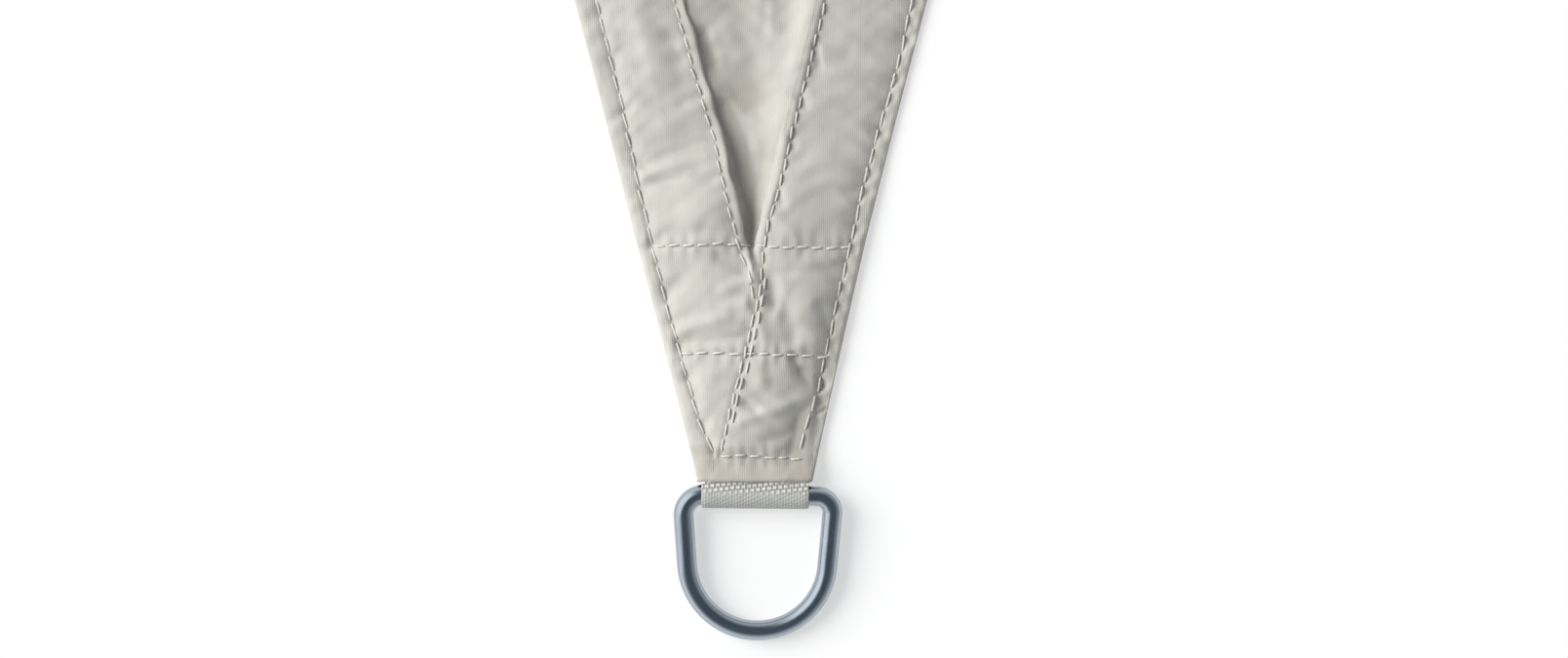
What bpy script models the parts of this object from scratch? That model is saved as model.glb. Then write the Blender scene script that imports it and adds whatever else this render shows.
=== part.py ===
"""Triangular shade sail, 3 m from ring to ring, lying open on the ground.

Seven pieces: one cloth with folded hems, and at each corner a webbing loop that
holds a welded steel D-ring. A place on the sail is given in the frame of its
corner: a runs across the corner and b runs inward from the middle of the ring's bar.
"""

from math import acos, atan2, cos, pi, radians, sin, sqrt

import bmesh
import bpy
import numpy as np
from mathutils import Vector
from mathutils.geometry import delaunay_2d_cdt

MM = 0.001

# The whole sail
SIDE = 3.0  # from the bar of one ring to the bar of the next
TIP_HALF_ANGLE = radians(13.1)  # from a corner's axis to its edge, at the tip
END_SETBACK = 3.5 * MM  # from the bar to the end of the cloth
END_HALF_WIDTH = 17.2 * MM
CLOTH = 1.0 * MM  # the open cloth

# The hem, folded on to the upper side
HEM_WIDTH = 32 * MM
HEM_STEP = 1.1 * MM
HEM_FADE = 52 * MM  # the step is pressed flat over the bar, and whole from here inward
COVERED_STEP = 0.5 * MM  # what a hem adds where it lies under the next one
INNER_SEAM = 29 * MM  # from the edge
OUTER_SEAM = 4.6 * MM
SEAM_DEPTH = 0.35 * MM
SEAM_WIDTH = 1.1 * MM
EDGE_ROUND = 0.6 * MM
RIM_SHARE = 0.55  # height of the edge, against the cloth beside it
BLUNT_SHARE = 0.97  # the same at the blunt end of a corner
CROSS_SEAMS = (11.5 * MM, 42.4 * MM, 74.7 * MM)  # from the bar

# The ring: round wire bent to a D with a straight bar
WIRE = 6 * MM
WIRE_SIDES = 12
BAR_CORNER = 4.7 * MM  # bend at each end of the bar, to the middle of the wire
BAR_CORNER_STEPS = 6
BAR_HALF = 22.3 * MM  # from the ring's axis to the wire beside the bar
BOW = 21.1 * MM  # radius of the round side
BOW_CENTRE = 19.6 * MM  # from the bar
BOW_STEPS = 21  # odd, so that one flat lies square to the pull
RING_SHIFT = 0.9 * MM  # along the bar, from the middle of the loop
RING_TURN = radians(-1.0)

# The webbing loop
WEBBING_WIDTH = 32 * MM
WEBBING = 1.1 * MM
GAP = 0.3 * MM
SKIN = 0.7 * MM  # cloth under and over the loop's legs
LEG_END = 68 * MM
KNEE = 13 * MM  # where the upper leg starts to rise over the bar
HEEL = 5 * MM  # where the lower leg starts to drop under it
LOOP_STEP = radians(15)
LOOP_TURN = radians(-0.6)

LOWER_LEG = SKIN + GAP + WEBBING / 2
UPPER_LEG = LOWER_LEG + WEBBING + GAP
LOOP_RADIUS = WIRE / 2 + GAP + WEBBING / 2
BAR_HEIGHT = LOOP_RADIUS + WEBBING / 2 + GAP
WIRE_FLAT = WIRE / 2 * cos(pi / WIRE_SIDES)
RING_TILT = atan2(BAR_HEIGHT - WIRE_FLAT, BOW_CENTRE + BOW + WIRE / 2)  # the round side is down

# Past the ends of the loop's legs the corner thins to the open cloth
PACKET_END = 80 * MM
PACKET_FADE = 28 * MM
PACKET_SIDE = 18 * MM  # and beside them

# The corner's end sits a little to one side, as it is sewn
END_SHIFT = 1.4 * MM
SHIFT_REACH = 78 * MM

# The corner's main folds, in mm: from, to, half width, height
FOLD_COLUMNS = ("a0", "b0", "a1", "b1", "width", "height")
FOLDS = (
    (-31, 103, -15, 110, 3.0, -0.4),
    (-32, 97, -15, 102, 2.6, 0.6),
    (-28, 90, -12, 94, 3.0, -0.3),
    (-22, 136, -17, 112, 3.0, 0.4),
    (-12, 122, -4, 105, 3.2, -0.3),
    (-4, 105, -1, 78, 2.4, -0.4),
    (8, 136, 4, 106, 3.4, 0.9),
    (-4, 140, -1, 118, 4.0, 0.5),
    (43, 122, 36, 96, 2.6, 0.4),
    (22, 128, 12, 98, 3.0, 0.4),
    (-9, 72, -4, 62, 3.0, 0.4),
    (2, 70, 4, 56, 2.2, -0.4),
    (-21, 46, -12, 51, 2.8, 0.5),
    (-18, 43, -5, 48, 2.4, -0.3),
    (9, 53, 13, 43, 2.6, -0.4),
    (12, 53, 16, 49, 2.6, 0.4),
    (-4, 24, 15, 30, 2.6, 0.5),
    (12, 37, 20, 32, 2.4, -0.4),
    (10, 18, 22, 26, 2.4, -0.3),
    (-13, 28, -9, 31, 2.6, 0.4),
)

# Spacing of the points that carry the surface
CORNER_COLUMNS = ("name", "direction", "spacing")  # the spacing is the one at the tip
CORNERS = (
    ("front", radians(-90), 3.4 * MM),
    ("right", radians(30), 6.0 * MM),
    ("left", radians(150), 6.0 * MM),
)
FINE_REACH = 155 * MM
SPACING_GROWTH = 0.1
OPEN_SPACING = 110 * MM
UNDERSIDE_SPACING = 25 * MM
CLEAR_SHARE = 0.55  # of the spacing, from a loose point to those on the lines


def corner(number):
    return dict(zip(CORNER_COLUMNS, CORNERS[number % 3]))


# Plan


def corner_axes(number):
    """The middle of the bar, and the directions across the corner and inward."""
    angle = corner(number)["direction"]
    inward = np.array((-cos(angle), -sin(angle)))
    across = np.array((inward[1], -inward[0]))
    return -inward * SIDE / sqrt(3), across, inward


def plan_point(number, a, b):
    bar, across, inward = corner_axes(number)
    return bar + across * a + inward * b


def corner_place(number, point):
    bar, across, inward = corner_axes(number)
    return (point - bar) @ across, (point - bar) @ inward


def nearest_corner(point):
    return int(np.argmin([np.hypot(*(point - corner_axes(number)[0])) for number in range(3)]))


def edge_arc(number):
    """Centre, radius and end angles of the edge from a corner to the next one."""
    start = plan_point(number, END_HALF_WIDTH, END_SETBACK)
    end = plan_point(number + 1, -END_HALF_WIDTH, END_SETBACK)
    chord = end - start
    length = np.hypot(*chord)
    bend = radians(30) - TIP_HALF_ANGLE
    radius = length / (2 * sin(bend))
    outward = np.array((chord[1], -chord[0])) / length
    centre = (start + end) / 2 + outward * radius * cos(bend)
    first = atan2(start[1] - centre[1], start[0] - centre[0])
    return centre, radius, first, first - 2 * bend


EDGES = [edge_arc(number) for number in range(3)]


def edge_point(edge, angle, inset=0.0):
    centre, radius, _, _ = EDGES[edge]
    return centre + (radius + inset) * np.array((cos(angle), sin(angle)))


def edge_inset(edge, point):
    """How far inside an edge a point lies."""
    centre, radius, _, _ = EDGES[edge]
    return np.hypot(*(point - centre)) - radius


def spacing_at(number, distance):
    grown = corner(number)["spacing"] + SPACING_GROWTH * max(0.0, distance - FINE_REACH)
    return min(grown, OPEN_SPACING)


def edge_angles(edge):
    """Angles along an edge, close together near both of its corners."""
    _, radius, first, last = EDGES[edge]
    half = radius * abs(last - first) / 2
    halves = []
    for number, start, sign in ((edge, first, -1), (edge + 1, last, 1)):
        run = [0.0]
        while run[-1] < half:
            run.append(run[-1] + spacing_at(number, run[-1]))
        fit = half / run[-1]
        halves.append([start + sign * distance * fit / radius for distance in run])
    return halves[0] + halves[1][-2::-1]


# Heights


def smooth(x):
    x = min(max(x, 0.0), 1.0)
    return x * x * (3 - 2 * x)


def bump(distance, width):
    return np.exp(-((distance / width) ** 2))


def loop_tangent(b, height, side):
    """Angle at which a leg through this place meets the loop's round."""
    reach = sqrt(b * b + (height - BAR_HEIGHT) ** 2)
    return atan2(height - BAR_HEIGHT, b) + side * acos(LOOP_RADIUS / reach)


UPPER_TANGENT = loop_tangent(KNEE, UPPER_LEG, 1)
LOWER_TANGENT = loop_tangent(HEEL, LOWER_LEG, -1) + 2 * pi
RISE = pi / 2 - UPPER_TANGENT  # slope of the upper leg over the bar


def packet_height(b):
    """Height of the cloth over the upper leg."""
    cover = WEBBING / 2 + GAP
    flat = UPPER_LEG + cover
    sloped = UPPER_LEG + (KNEE - b) * sin(RISE) / cos(RISE) + cover / cos(RISE)
    return (sloped if b < KNEE else flat) + SKIN


def fold_height(a, b):
    height = 0.0
    for row in FOLDS:
        fold = dict(zip(FOLD_COLUMNS, row))
        start = np.array((fold["a0"], fold["b0"])) * MM
        along = np.array((fold["a1"], fold["b1"])) * MM - start
        place = np.array((a, b)) - start
        share = min(max(place @ along / (along @ along), 0.0), 1.0)
        height += fold["height"] * MM * bump(np.hypot(*(place - along * share)), fold["width"] * MM)
    return height


def hem_cover(edge, point):
    """1 on the hem of an edge, 0 beyond its fold."""
    return 1 - smooth((edge_inset(edge, point) - HEM_WIDTH) / EDGE_ROUND)


def hem_height(edge, point, covered):
    """What a hem adds to the open cloth: its turned-in layers, less its seams."""
    inset = edge_inset(edge, point)
    step = HEM_STEP + (COVERED_STEP - HEM_STEP) * covered
    grooves = bump(inset - OUTER_SEAM, SEAM_WIDTH)
    grooves += bump(inset - INNER_SEAM, SEAM_WIDTH) * (1 - covered)
    return step * hem_cover(edge, point) - SEAM_DEPTH * grooves


def packet_share(a, b):
    """How far the loop's thickness shows: it fades beside the legs and beyond their ends."""
    beside = smooth((abs(a) - WEBBING_WIDTH / 2) / PACKET_SIDE)
    return (1 - beside * smooth((b - KNEE) / HEM_FADE)) * (1 - smooth((b - PACKET_END) / PACKET_FADE))


def top_height(point):
    """Height of the upper side at a point of the plan."""
    number = nearest_corner(point)
    a, b = corner_place(number, point)
    right, left = number, (number + 2) % 3
    hems = hem_height(right, point, 0.0) + hem_height(left, point, hem_cover(right, point))
    height = CLOTH + hems * smooth(b / HEM_FADE)
    height += (packet_height(b) - CLOTH) * packet_share(a, b)
    height += fold_height(a, b) if b < FINE_REACH else 0.0
    return height - sum(SEAM_DEPTH * bump(b - seam, SEAM_WIDTH) for seam in CROSS_SEAMS)


def rim_height(point):
    """Height of the edge: rounded along the hems, and blunt round the loop's legs."""
    b = corner_place(nearest_corner(point), point)[1]
    blunt = 1 - smooth((b - END_SETBACK) / KNEE)
    return top_height(point) * (RIM_SHARE + (BLUNT_SHARE - RIM_SHARE) * blunt)


def sewn(point, height):
    """A point of the plan, set to the side near the tip, at a height."""
    number = nearest_corner(point)
    b = corner_place(number, point)[1]
    shift = END_SHIFT * max(0.0, 1 - b / SHIFT_REACH)
    x, y = point + corner_axes(number)[1] * shift
    return Vector((x, y, height))


# The sail's points


def outline():
    """The sail's closed outline: each corner's blunt end, then the edge to the next corner."""
    points = []
    for number in range(3):
        steps = round(2 * END_HALF_WIDTH / corner(number)["spacing"])
        for step in range(steps):
            a = END_HALF_WIDTH * (2 * step / steps - 1)
            points.append(plan_point(number, a, END_SETBACK))
        points += [edge_point(number, angle) for angle in edge_angles(number)[:-1]]
    return points


def seam_lines():
    """Lines along the edges that carry the hem's round, seams and fold."""
    lines = []
    insets = (EDGE_ROUND, OUTER_SEAM, 3 * OUTER_SEAM, INNER_SEAM, HEM_WIDTH, HEM_WIDTH + EDGE_ROUND)
    for edge in range(3):
        for inset in insets:
            line = []
            for angle in edge_angles(edge):
                point = edge_point(edge, angle, inset)
                number = nearest_corner(point)
                a, b = corner_place(number, point)
                beyond_axis = a < 0 if number == edge else a > 0
                left_hem = number != edge
                if b > END_SETBACK + EDGE_ROUND and not (left_hem and beyond_axis):
                    line.append(point)
            lines.append(line)
    return lines


def cross_lines():
    lines = []
    for number in range(3):
        spacing = corner(number)["spacing"]
        for b in (END_SETBACK + EDGE_ROUND, KNEE) + CROSS_SEAMS:
            half = END_HALF_WIDTH + (b - END_SETBACK) * sin(TIP_HALF_ANGLE)
            steps = round(2 * half / spacing)
            row = [plan_point(number, half * (2 * step / steps - 1), b) for step in range(steps + 1)]
            lines.append([p for p in row if clear_of_edges(p, EDGE_ROUND)])
    return lines


def clear_of_edges(point, distance):
    return all(edge_inset(edge, point) > distance for edge in range(3))


def field_points(taken, spacing_for):
    """Staggered rows of points over the sail that keep clear of those already taken."""
    found = []
    taken = np.array(taken)
    for number in range(3):
        b = 2 * END_SETBACK
        row = 0
        while b < SIDE / sqrt(3):
            spacing = spacing_for(number, b)
            reach = END_HALF_WIDTH + b * sqrt(3)
            a = -reach + spacing * (row % 2) / 2
            while a < reach:
                point = plan_point(number, a, b)
                inside = clear_of_edges(point, spacing / 2) and nearest_corner(point) == number
                if inside and np.hypot(*(taken - point).T).min() > spacing * CLEAR_SHARE:
                    found.append(point)
                a += spacing
            b += spacing * sqrt(3) / 2
            row += 1
    return found


def triangulated(loop, lines, loose):
    """Triangles over the plan: (points, faces, the index of each point of the loop)."""
    points = [Vector(p) for p in loop]
    edges = []
    for line in lines:
        first = len(points)
        points += [Vector(p) for p in line]
        edges += [(i, i + 1) for i in range(first, len(points) - 1)]
    points += [Vector(p) for p in loose]
    face = list(range(len(loop)))
    placed, _, faces, origins, _, _ = delaunay_2d_cdt(points, edges, [face], 1, 1e-6)
    index = {source: i for i, sources in enumerate(origins) for source in sources}
    return [np.array(p) for p in placed], faces, [index[i] for i in face]


# Meshes


def finished(name, bm, material):
    bmesh.ops.recalc_face_normals(bm, faces=bm.faces)
    mesh = bpy.data.meshes.new(name)
    bm.to_mesh(mesh)
    bm.free()
    mesh.materials.append(material)
    mesh.shade_smooth()
    mesh.set_sharp_from_angle(angle=radians(40))
    piece = bpy.data.objects.new(name, mesh)
    bpy.context.scene.collection.objects.link(piece)
    return piece


def sail(material):
    """One cloth: its upper side carries the hems, seams and folds, and its underside is flat."""
    loop = outline()
    lines = seam_lines() + cross_lines()
    taken = loop + [point for line in lines for point in line]
    top = triangulated(loop, lines, field_points(taken, spacing_at))
    coarse = field_points(loop, lambda number, b: UNDERSIDE_SPACING + SPACING_GROWTH * b)
    underside = triangulated(loop, [], coarse)

    bm = bmesh.new()
    upper = [bm.verts.new(sewn(point, top_height(point))) for point in top[0]]
    for i in top[2]:
        upper[i].co.z = rim_height(top[0][i])
    lower = [bm.verts.new(sewn(point, 0.0)) for point in underside[0]]
    for face in top[1]:
        bm.faces.new([upper[i] for i in face])
    for face in underside[1]:
        bm.faces.new([lower[i] for i in face])
    count = len(loop)
    for i in range(count):
        j = (i + 1) % count
        bm.faces.new((lower[underside[2][i]], lower[underside[2][j]], upper[top[2][j]], upper[top[2][i]]))
    return finished("sail", bm, material)


def loop_path():
    """The middle of the webbing seen from the side: upper leg, round the bar, lower leg."""
    steps = round((LOWER_TANGENT - UPPER_TANGENT) / LOOP_STEP)
    path = [(LEG_END, UPPER_LEG), (KNEE, UPPER_LEG)]
    for step in range(steps + 1):
        angle = UPPER_TANGENT + (LOWER_TANGENT - UPPER_TANGENT) * step / steps
        path.append((LOOP_RADIUS * cos(angle), BAR_HEIGHT + LOOP_RADIUS * sin(angle)))
    return path + [(HEEL, LOWER_LEG), (LEG_END, LOWER_LEG)]


def beside(path, distance):
    """The path moved out from the loop's inside, or in by a negative distance, with mitred corners."""
    points = [Vector(p) for p in path]
    moved = []
    for i, point in enumerate(points):
        before = (point - points[max(i - 1, 0)]).normalized()
        after = (points[min(i + 1, len(points) - 1)] - point).normalized()
        along = (before + after).normalized()
        out = Vector((along.y, -along.x))
        share = max(along.dot(before), along.dot(after))
        moved.append(point + out * distance / share)
    return moved


def extruded(name, profile, width, material):
    """A profile in the plane of b and height, extruded along a about its middle."""
    bm = bmesh.new()
    face = bm.faces.new([bm.verts.new((-width / 2, b, height)) for b, height in profile])
    swept = bmesh.ops.extrude_face_region(bm, geom=[face])["geom"]
    moved = [item for item in swept if isinstance(item, bmesh.types.BMVert)]
    bmesh.ops.translate(bm, verts=moved, vec=(width, 0, 0))
    return finished(name, bm, material)


def webbing_loop(name, material):
    path = loop_path()
    profile = beside(path, WEBBING / 2) + beside(path, -WEBBING / 2)[::-1]
    return extruded(name, profile, WEBBING_WIDTH, material)


def pocket_cutter(name, material):
    """The space between the cloth's layers that the loop's legs lie in."""
    path = loop_path()
    path[0] = (LEG_END + GAP, UPPER_LEG)
    path[-1] = (LEG_END + GAP, LOWER_LEG)
    profile = beside(path, WEBBING / 2 + GAP)
    cutter = extruded(name, profile, WEBBING_WIDTH + 2 * GAP, material)
    cutter.hide_render = True
    cutter.display_type = "WIRE"
    return cutter


def ring_path():
    """The middle of the ring's wire, as (place, outward direction), once round."""
    bends = (
        (Vector((BAR_HALF - BAR_CORNER, -BAR_CORNER)), BAR_CORNER, BAR_CORNER_STEPS),
        (Vector((BAR_CORNER - BAR_HALF, -BAR_CORNER)), BAR_CORNER, BAR_CORNER_STEPS),
        (Vector((0, -BOW_CENTRE)), BOW, BOW_STEPS),
    )
    leaves = []
    for i, (centre, radius, _) in enumerate(bends):
        next_centre, next_radius, _ = bends[(i + 1) % 3]
        run = next_centre - centre
        leaves.append(atan2(run.y, run.x) - acos((radius - next_radius) / run.length))
    path = []
    for i, (centre, radius, steps) in enumerate(bends):
        first = leaves[i - 1]
        turn = (leaves[i] - first) % (2 * pi)
        for step in range(steps + 1):
            angle = first + turn * step / steps
            outward = Vector((cos(angle), sin(angle)))
            path.append((centre + outward * radius, outward))
    return path


def d_ring(name, material):
    """Wire of many flats; one of them faces the bar from the middle of the round side."""
    bm = bmesh.new()
    hoops = []
    for centre, outward in ring_path():
        hoop = []
        for side in range(WIRE_SIDES):
            angle = 2 * pi * (side + 0.5) / WIRE_SIDES
            place = centre + outward * WIRE / 2 * cos(angle)
            hoop.append(bm.verts.new((place.x, place.y, WIRE / 2 * sin(angle))))
        hoops.append(hoop)
    for i, hoop in enumerate(hoops):
        following = hoops[(i + 1) % len(hoops)]
        for side in range(WIRE_SIDES):
            other = (side + 1) % WIRE_SIDES
            bm.faces.new((hoop[side], hoop[other], following[other], following[side]))
    return finished(name, bm, material)


# Materials


def surface(name, colour, roughness, metallic):
    material = bpy.data.materials.new(name)
    material.use_nodes = True
    shader = material.node_tree.nodes["Principled BSDF"]
    shader.inputs["Base Color"].default_value = (*colour, 1)
    shader.inputs["Roughness"].default_value = roughness
    shader.inputs["Metallic"].default_value = metallic
    return material


def cream_cloth():
    return surface("cream_cloth", (0.70, 0.68, 0.61), 0.62, 0.0)


def cream_webbing():
    return surface("cream_webbing", (0.66, 0.65, 0.59), 0.7, 0.0)


def bright_steel():
    return surface("bright_steel", (0.62, 0.65, 0.69), 0.2, 1.0)


# The whole


def corner_stand(number, parent):
    """An empty at the middle of a corner's bar, on the ground, that the corner's pieces hang on."""
    stand = bpy.data.objects.new("corner_" + corner(number)["name"], None)
    bpy.context.scene.collection.objects.link(stand)
    bar, across, _ = corner_axes(number)
    stand.parent = parent
    stand.location = (*bar, 0)
    stand.rotation_euler = (0, 0, atan2(across[1], across[0]))
    return stand


def cut(piece, cutter):
    modifier = piece.modifiers.new(cutter.name, "BOOLEAN")
    modifier.operation = "DIFFERENCE"
    modifier.solver = "EXACT"
    modifier.object = cutter


def centred(root, pieces):
    """Moves the root so that the origin is under the middle of the pieces."""
    bpy.context.view_layer.update()
    places = [piece.matrix_world @ v.co for piece in pieces for v in piece.data.vertices]
    low = [min(place[axis] for place in places) for axis in range(2)]
    high = [max(place[axis] for place in places) for axis in range(2)]
    root.location = (-(low[0] + high[0]) / 2, -(low[1] + high[1]) / 2, 0)


def build():
    for thing in list(bpy.data.objects):
        bpy.data.objects.remove(thing, do_unlink=True)
    root = bpy.data.objects.new("shade_sail", None)
    bpy.context.scene.collection.objects.link(root)
    cloth = cream_cloth()
    webbing = cream_webbing()
    steel = bright_steel()
    whole = sail(cloth)
    whole.parent = root
    pieces = [whole]
    for number in range(3):
        name = corner(number)["name"]
        stand = corner_stand(number, root)
        loop = webbing_loop("webbing_loop_" + name, webbing)
        pocket = pocket_cutter("pocket_" + name, cloth)
        ring = d_ring("d_ring_" + name, steel)
        for piece, turn in ((loop, LOOP_TURN), (pocket, LOOP_TURN), (ring, RING_TURN)):
            piece.parent = stand
            piece.location = (END_SHIFT, 0, 0)
            piece.rotation_euler = (0, 0, turn)
        ring.location += Vector((RING_SHIFT, 0, BAR_HEIGHT))
        ring.rotation_euler.x = RING_TILT
        cut(whole, pocket)
        pieces += [loop, ring]
    centred(root, pieces)


build()
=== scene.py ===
"""Looks of a triangular shade sail that lies open on a pale floor.

The cloth, its stitches, the webbing loops and the D-rings are made at the places that
the frame gives them. Sizes on the cloth are in millimetres. A place near a corner is
given in that corner's own frame: a runs across it and b inward from the ring's bar.
"""

from math import acos, atan2, cos, pi, radians, sin, sqrt, tan

import bmesh
import bpy
import numpy as np
from mathutils import Euler, Matrix, Vector
from mathutils.geometry import delaunay_2d_cdt
from mathutils.kdtree import KDTree


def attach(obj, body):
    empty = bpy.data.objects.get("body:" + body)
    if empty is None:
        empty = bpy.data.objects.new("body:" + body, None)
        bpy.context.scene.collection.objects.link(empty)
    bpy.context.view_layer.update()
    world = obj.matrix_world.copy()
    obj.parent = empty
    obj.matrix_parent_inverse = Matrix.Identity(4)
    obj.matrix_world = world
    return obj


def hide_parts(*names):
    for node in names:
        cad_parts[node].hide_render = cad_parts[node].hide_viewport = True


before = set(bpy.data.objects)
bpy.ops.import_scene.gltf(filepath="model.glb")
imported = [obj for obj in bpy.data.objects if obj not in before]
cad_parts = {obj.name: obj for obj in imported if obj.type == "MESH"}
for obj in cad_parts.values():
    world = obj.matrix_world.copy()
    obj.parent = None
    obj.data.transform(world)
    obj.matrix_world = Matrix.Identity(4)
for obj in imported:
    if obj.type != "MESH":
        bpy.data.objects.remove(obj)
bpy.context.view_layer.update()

MM = 0.001

# The whole sail, as in the part
SIDE = 3000.0
TIP_HALF_ANGLE = radians(13.1)
END_SETBACK = 4.3
END_HALF_WIDTH = 17.4
MIDDLE = np.array((0.968, 437.043))  # of the three bars, from the origin
DIRECTIONS = (radians(-90), radians(30), radians(150))
CORNER_NAMES = ("front", "right", "left")
END_SHIFT = 1.4
SHIFT_REACH = 78.0

# The loop and the ring, as in the part
WIRE = 6.0
BAR_CORNER = 4.7
LEFT_CORNER = 6.2  # the wider of the two bends
BAR_HALF = 22.3
BOW = 21.1
BOW_CENTRE = 19.6
RING_SHIFT = 0.9
RING_TURN = radians(-1.0)
WEBBING_WIDTH = 32.0
WEBBING = 1.1
GAP = 0.3
SKIN = 0.7
LEG_END = 68.0
KNEE = 13.0
HEEL = 5.0
LOOP_TURN = radians(-0.6)
LOWER_LEG = SKIN + GAP + WEBBING / 2
UPPER_LEG = LOWER_LEG + WEBBING + GAP
BAR_HEIGHT = WIRE / 2 + 2 * GAP + WEBBING
LOOP_WEBBING = 0.9  # thinner than in the part, and close round the bar
LOOP_RADIUS = WIRE / 2 + 0.02 + LOOP_WEBBING / 2
RING_TILT = atan2(BAR_HEIGHT - WIRE / 2, BOW_CENTRE + BOW + WIRE / 2)
COVER = 1.75  # cloth of the hems over the legs
PACKET_END = 80.0
PACKET_FADE = 28.0

# The hem
OUTER_SEAM = 4.6
INNER_SEAM = 29.0
FOLD = 32.0
OUTER_PITCH = 5.9
INNER_PITCH = 4.8
CROSS_PITCH = 4.3
CROSS_SEAMS = (11.5, 42.4, 74.7)
LAST_SEAM = 12.0

# Across the hem: distance from the edge, height over what the hem lies on
ROLL_AND_BAND = (
    (0.0, 0.42),
    (0.4, 0.72),
    (0.9, 1.04),
    (1.5, 1.22),
    (2.3, 1.30),
    (3.1, 1.24),
    (3.8, 1.04),
    (4.25, 0.78),
    (4.6, 0.58),
    (5.0, 0.76),
    (5.7, 1.06),
    (7.0, 1.32),
    (9.0, 1.56),
    (12.0, 1.78),
    (17.0, 1.98),
)
# The right hem's fold lies down, and the left one stands up over the open cloth
FOLD_DOWN = ((21.0, 2.04), (24.0, 1.84), (26.8, 1.48), (28.1, 1.24), (28.65, 1.00), (29.0, 0.90))
FOLD_DOWN += ((29.4, 1.12), (30.0, 1.28), (30.8, 1.18), (31.5, 0.92), (31.9, 0.66), (32.1, 0.42), (32.3, 0.0))
FOLD_UP = ((21.0, 1.76), (24.0, 1.50), (26.8, 1.20), (28.1, 0.98), (28.65, 0.80), (29.0, 0.70))
FOLD_UP += ((29.4, 0.76), (30.0, 0.86), (30.8, 1.04), (31.5, 1.18), (31.9, 1.06), (32.1, 0.70), (32.3, 0.0))
LIP_END = 32.3
# The fold's edge bulges over the cloth beneath it: distance from the edge, shift inward
LIP_SHIFT = ((30.8, 0.0), (31.6, 0.12), (32.1, 0.18), (32.3, -0.5), (33.2, -0.35), (36.0, 0.0))

# How far the front corner's seams wander inward, in mm: run from the tip, shift
RIGHT_OUTER_WANDER = ((0, 1.8), (8, 1.7), (13, 1.35), (17, 0.7), (23, -0.3), (33, -0.35), (40, -0.2))
RIGHT_OUTER_WANDER += ((50, -0.1), (62, 0), (75, -0.2), (84, 0.4), (92, 0.1), (105, 0), (118, -0.4))
RIGHT_OUTER_WANDER += ((131, -1.0), (147, -0.2), (200, 0))
LEFT_OUTER_WANDER = ((0, 4.0), (6.5, 3.3), (9, 2.5), (12.5, 1.1), (18, 0.5), (39, -0.3), (73, -0.2))
LEFT_OUTER_WANDER += ((115, 1.6), (148, 1.8), (230, 0))
RIGHT_INNER_WANDER = ((0, -0.2), (21, -0.3), (28, -1.2), (40, -1.5), (54, -1.2), (58, -0.6), (63, 0.5))
RIGHT_INNER_WANDER += ((67, 0.2), (74, 0.8), (85, 0.2), (100, 0.4), (142, 0.7), (180, 0))
LEFT_INNER_WANDER = ((50, 2.2), (59, 1.2), (65, 0.5), (74, 0.6), (97, 1.5), (120, 0.5), (142, -0.2), (180, 0))
# How much of it each distance from the edge takes
OUTER_SHARE = ((0, 0), (4.6, 1), (12, 0))
INNER_SHARE = ((18, 0), (29, 1), (32.3, 0.6), (40, 0))

OPEN_CLOTH = 0.7
SWELL = 7.0  # of the open cloth's waves
CLOSE_ROWS = (0.8, 1.4, 2.2, 3.0, 3.7, 4.2, 4.6, 5.0, 5.7, 6.8, 8.2)
CLOSE_ROWS += (26.8, 28.1, 28.65, 29.0, 29.4, 30.0, 30.8, 31.5, 31.9, 32.1, 32.3, 33.2, 34.4)
LONG_ROWS = (1.5, 3.1, 4.6, 5.7, 8.2, 17.0, 26.8, 28.1, 29.0, 30.0, 30.8, 31.9, 32.1, 32.3, 34.4)
CLOSE_REACH = 190.0
FOLD_ROWS = 30.6  # the cross seams' rows leave these to the fold's
FOLD_ROWS_REACH = 4.4
EDGE_START = 0.35
CLEAR = 0.5
ROLL_END = 9.0  # rows nearer the edge than this belong to the roll
ROLL_OVER = (0.6, 0.4)  # how near they come to the hem below: share of their own inset, and more
BAND_OVER = 6.0
CROSS_SPREAD = 0.9  # between the three rows of a cross seam
CROSS_CLEAR = 8.6  # how far they end from the edges
STRAIGHT_END = 200.0  # up to where a corner is taken for a wedge

# How near the points lie: at the tip, how far that holds, how fast it grows, and the most
SPACINGS = ((0.72, 165.0), (1.5, 150.0), (1.5, 150.0))
EDGE_GROWTH = 0.035
EDGE_MOST = 9.0
OPEN_GROWTH = 0.12
OPEN_MOST = 70.0

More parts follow.
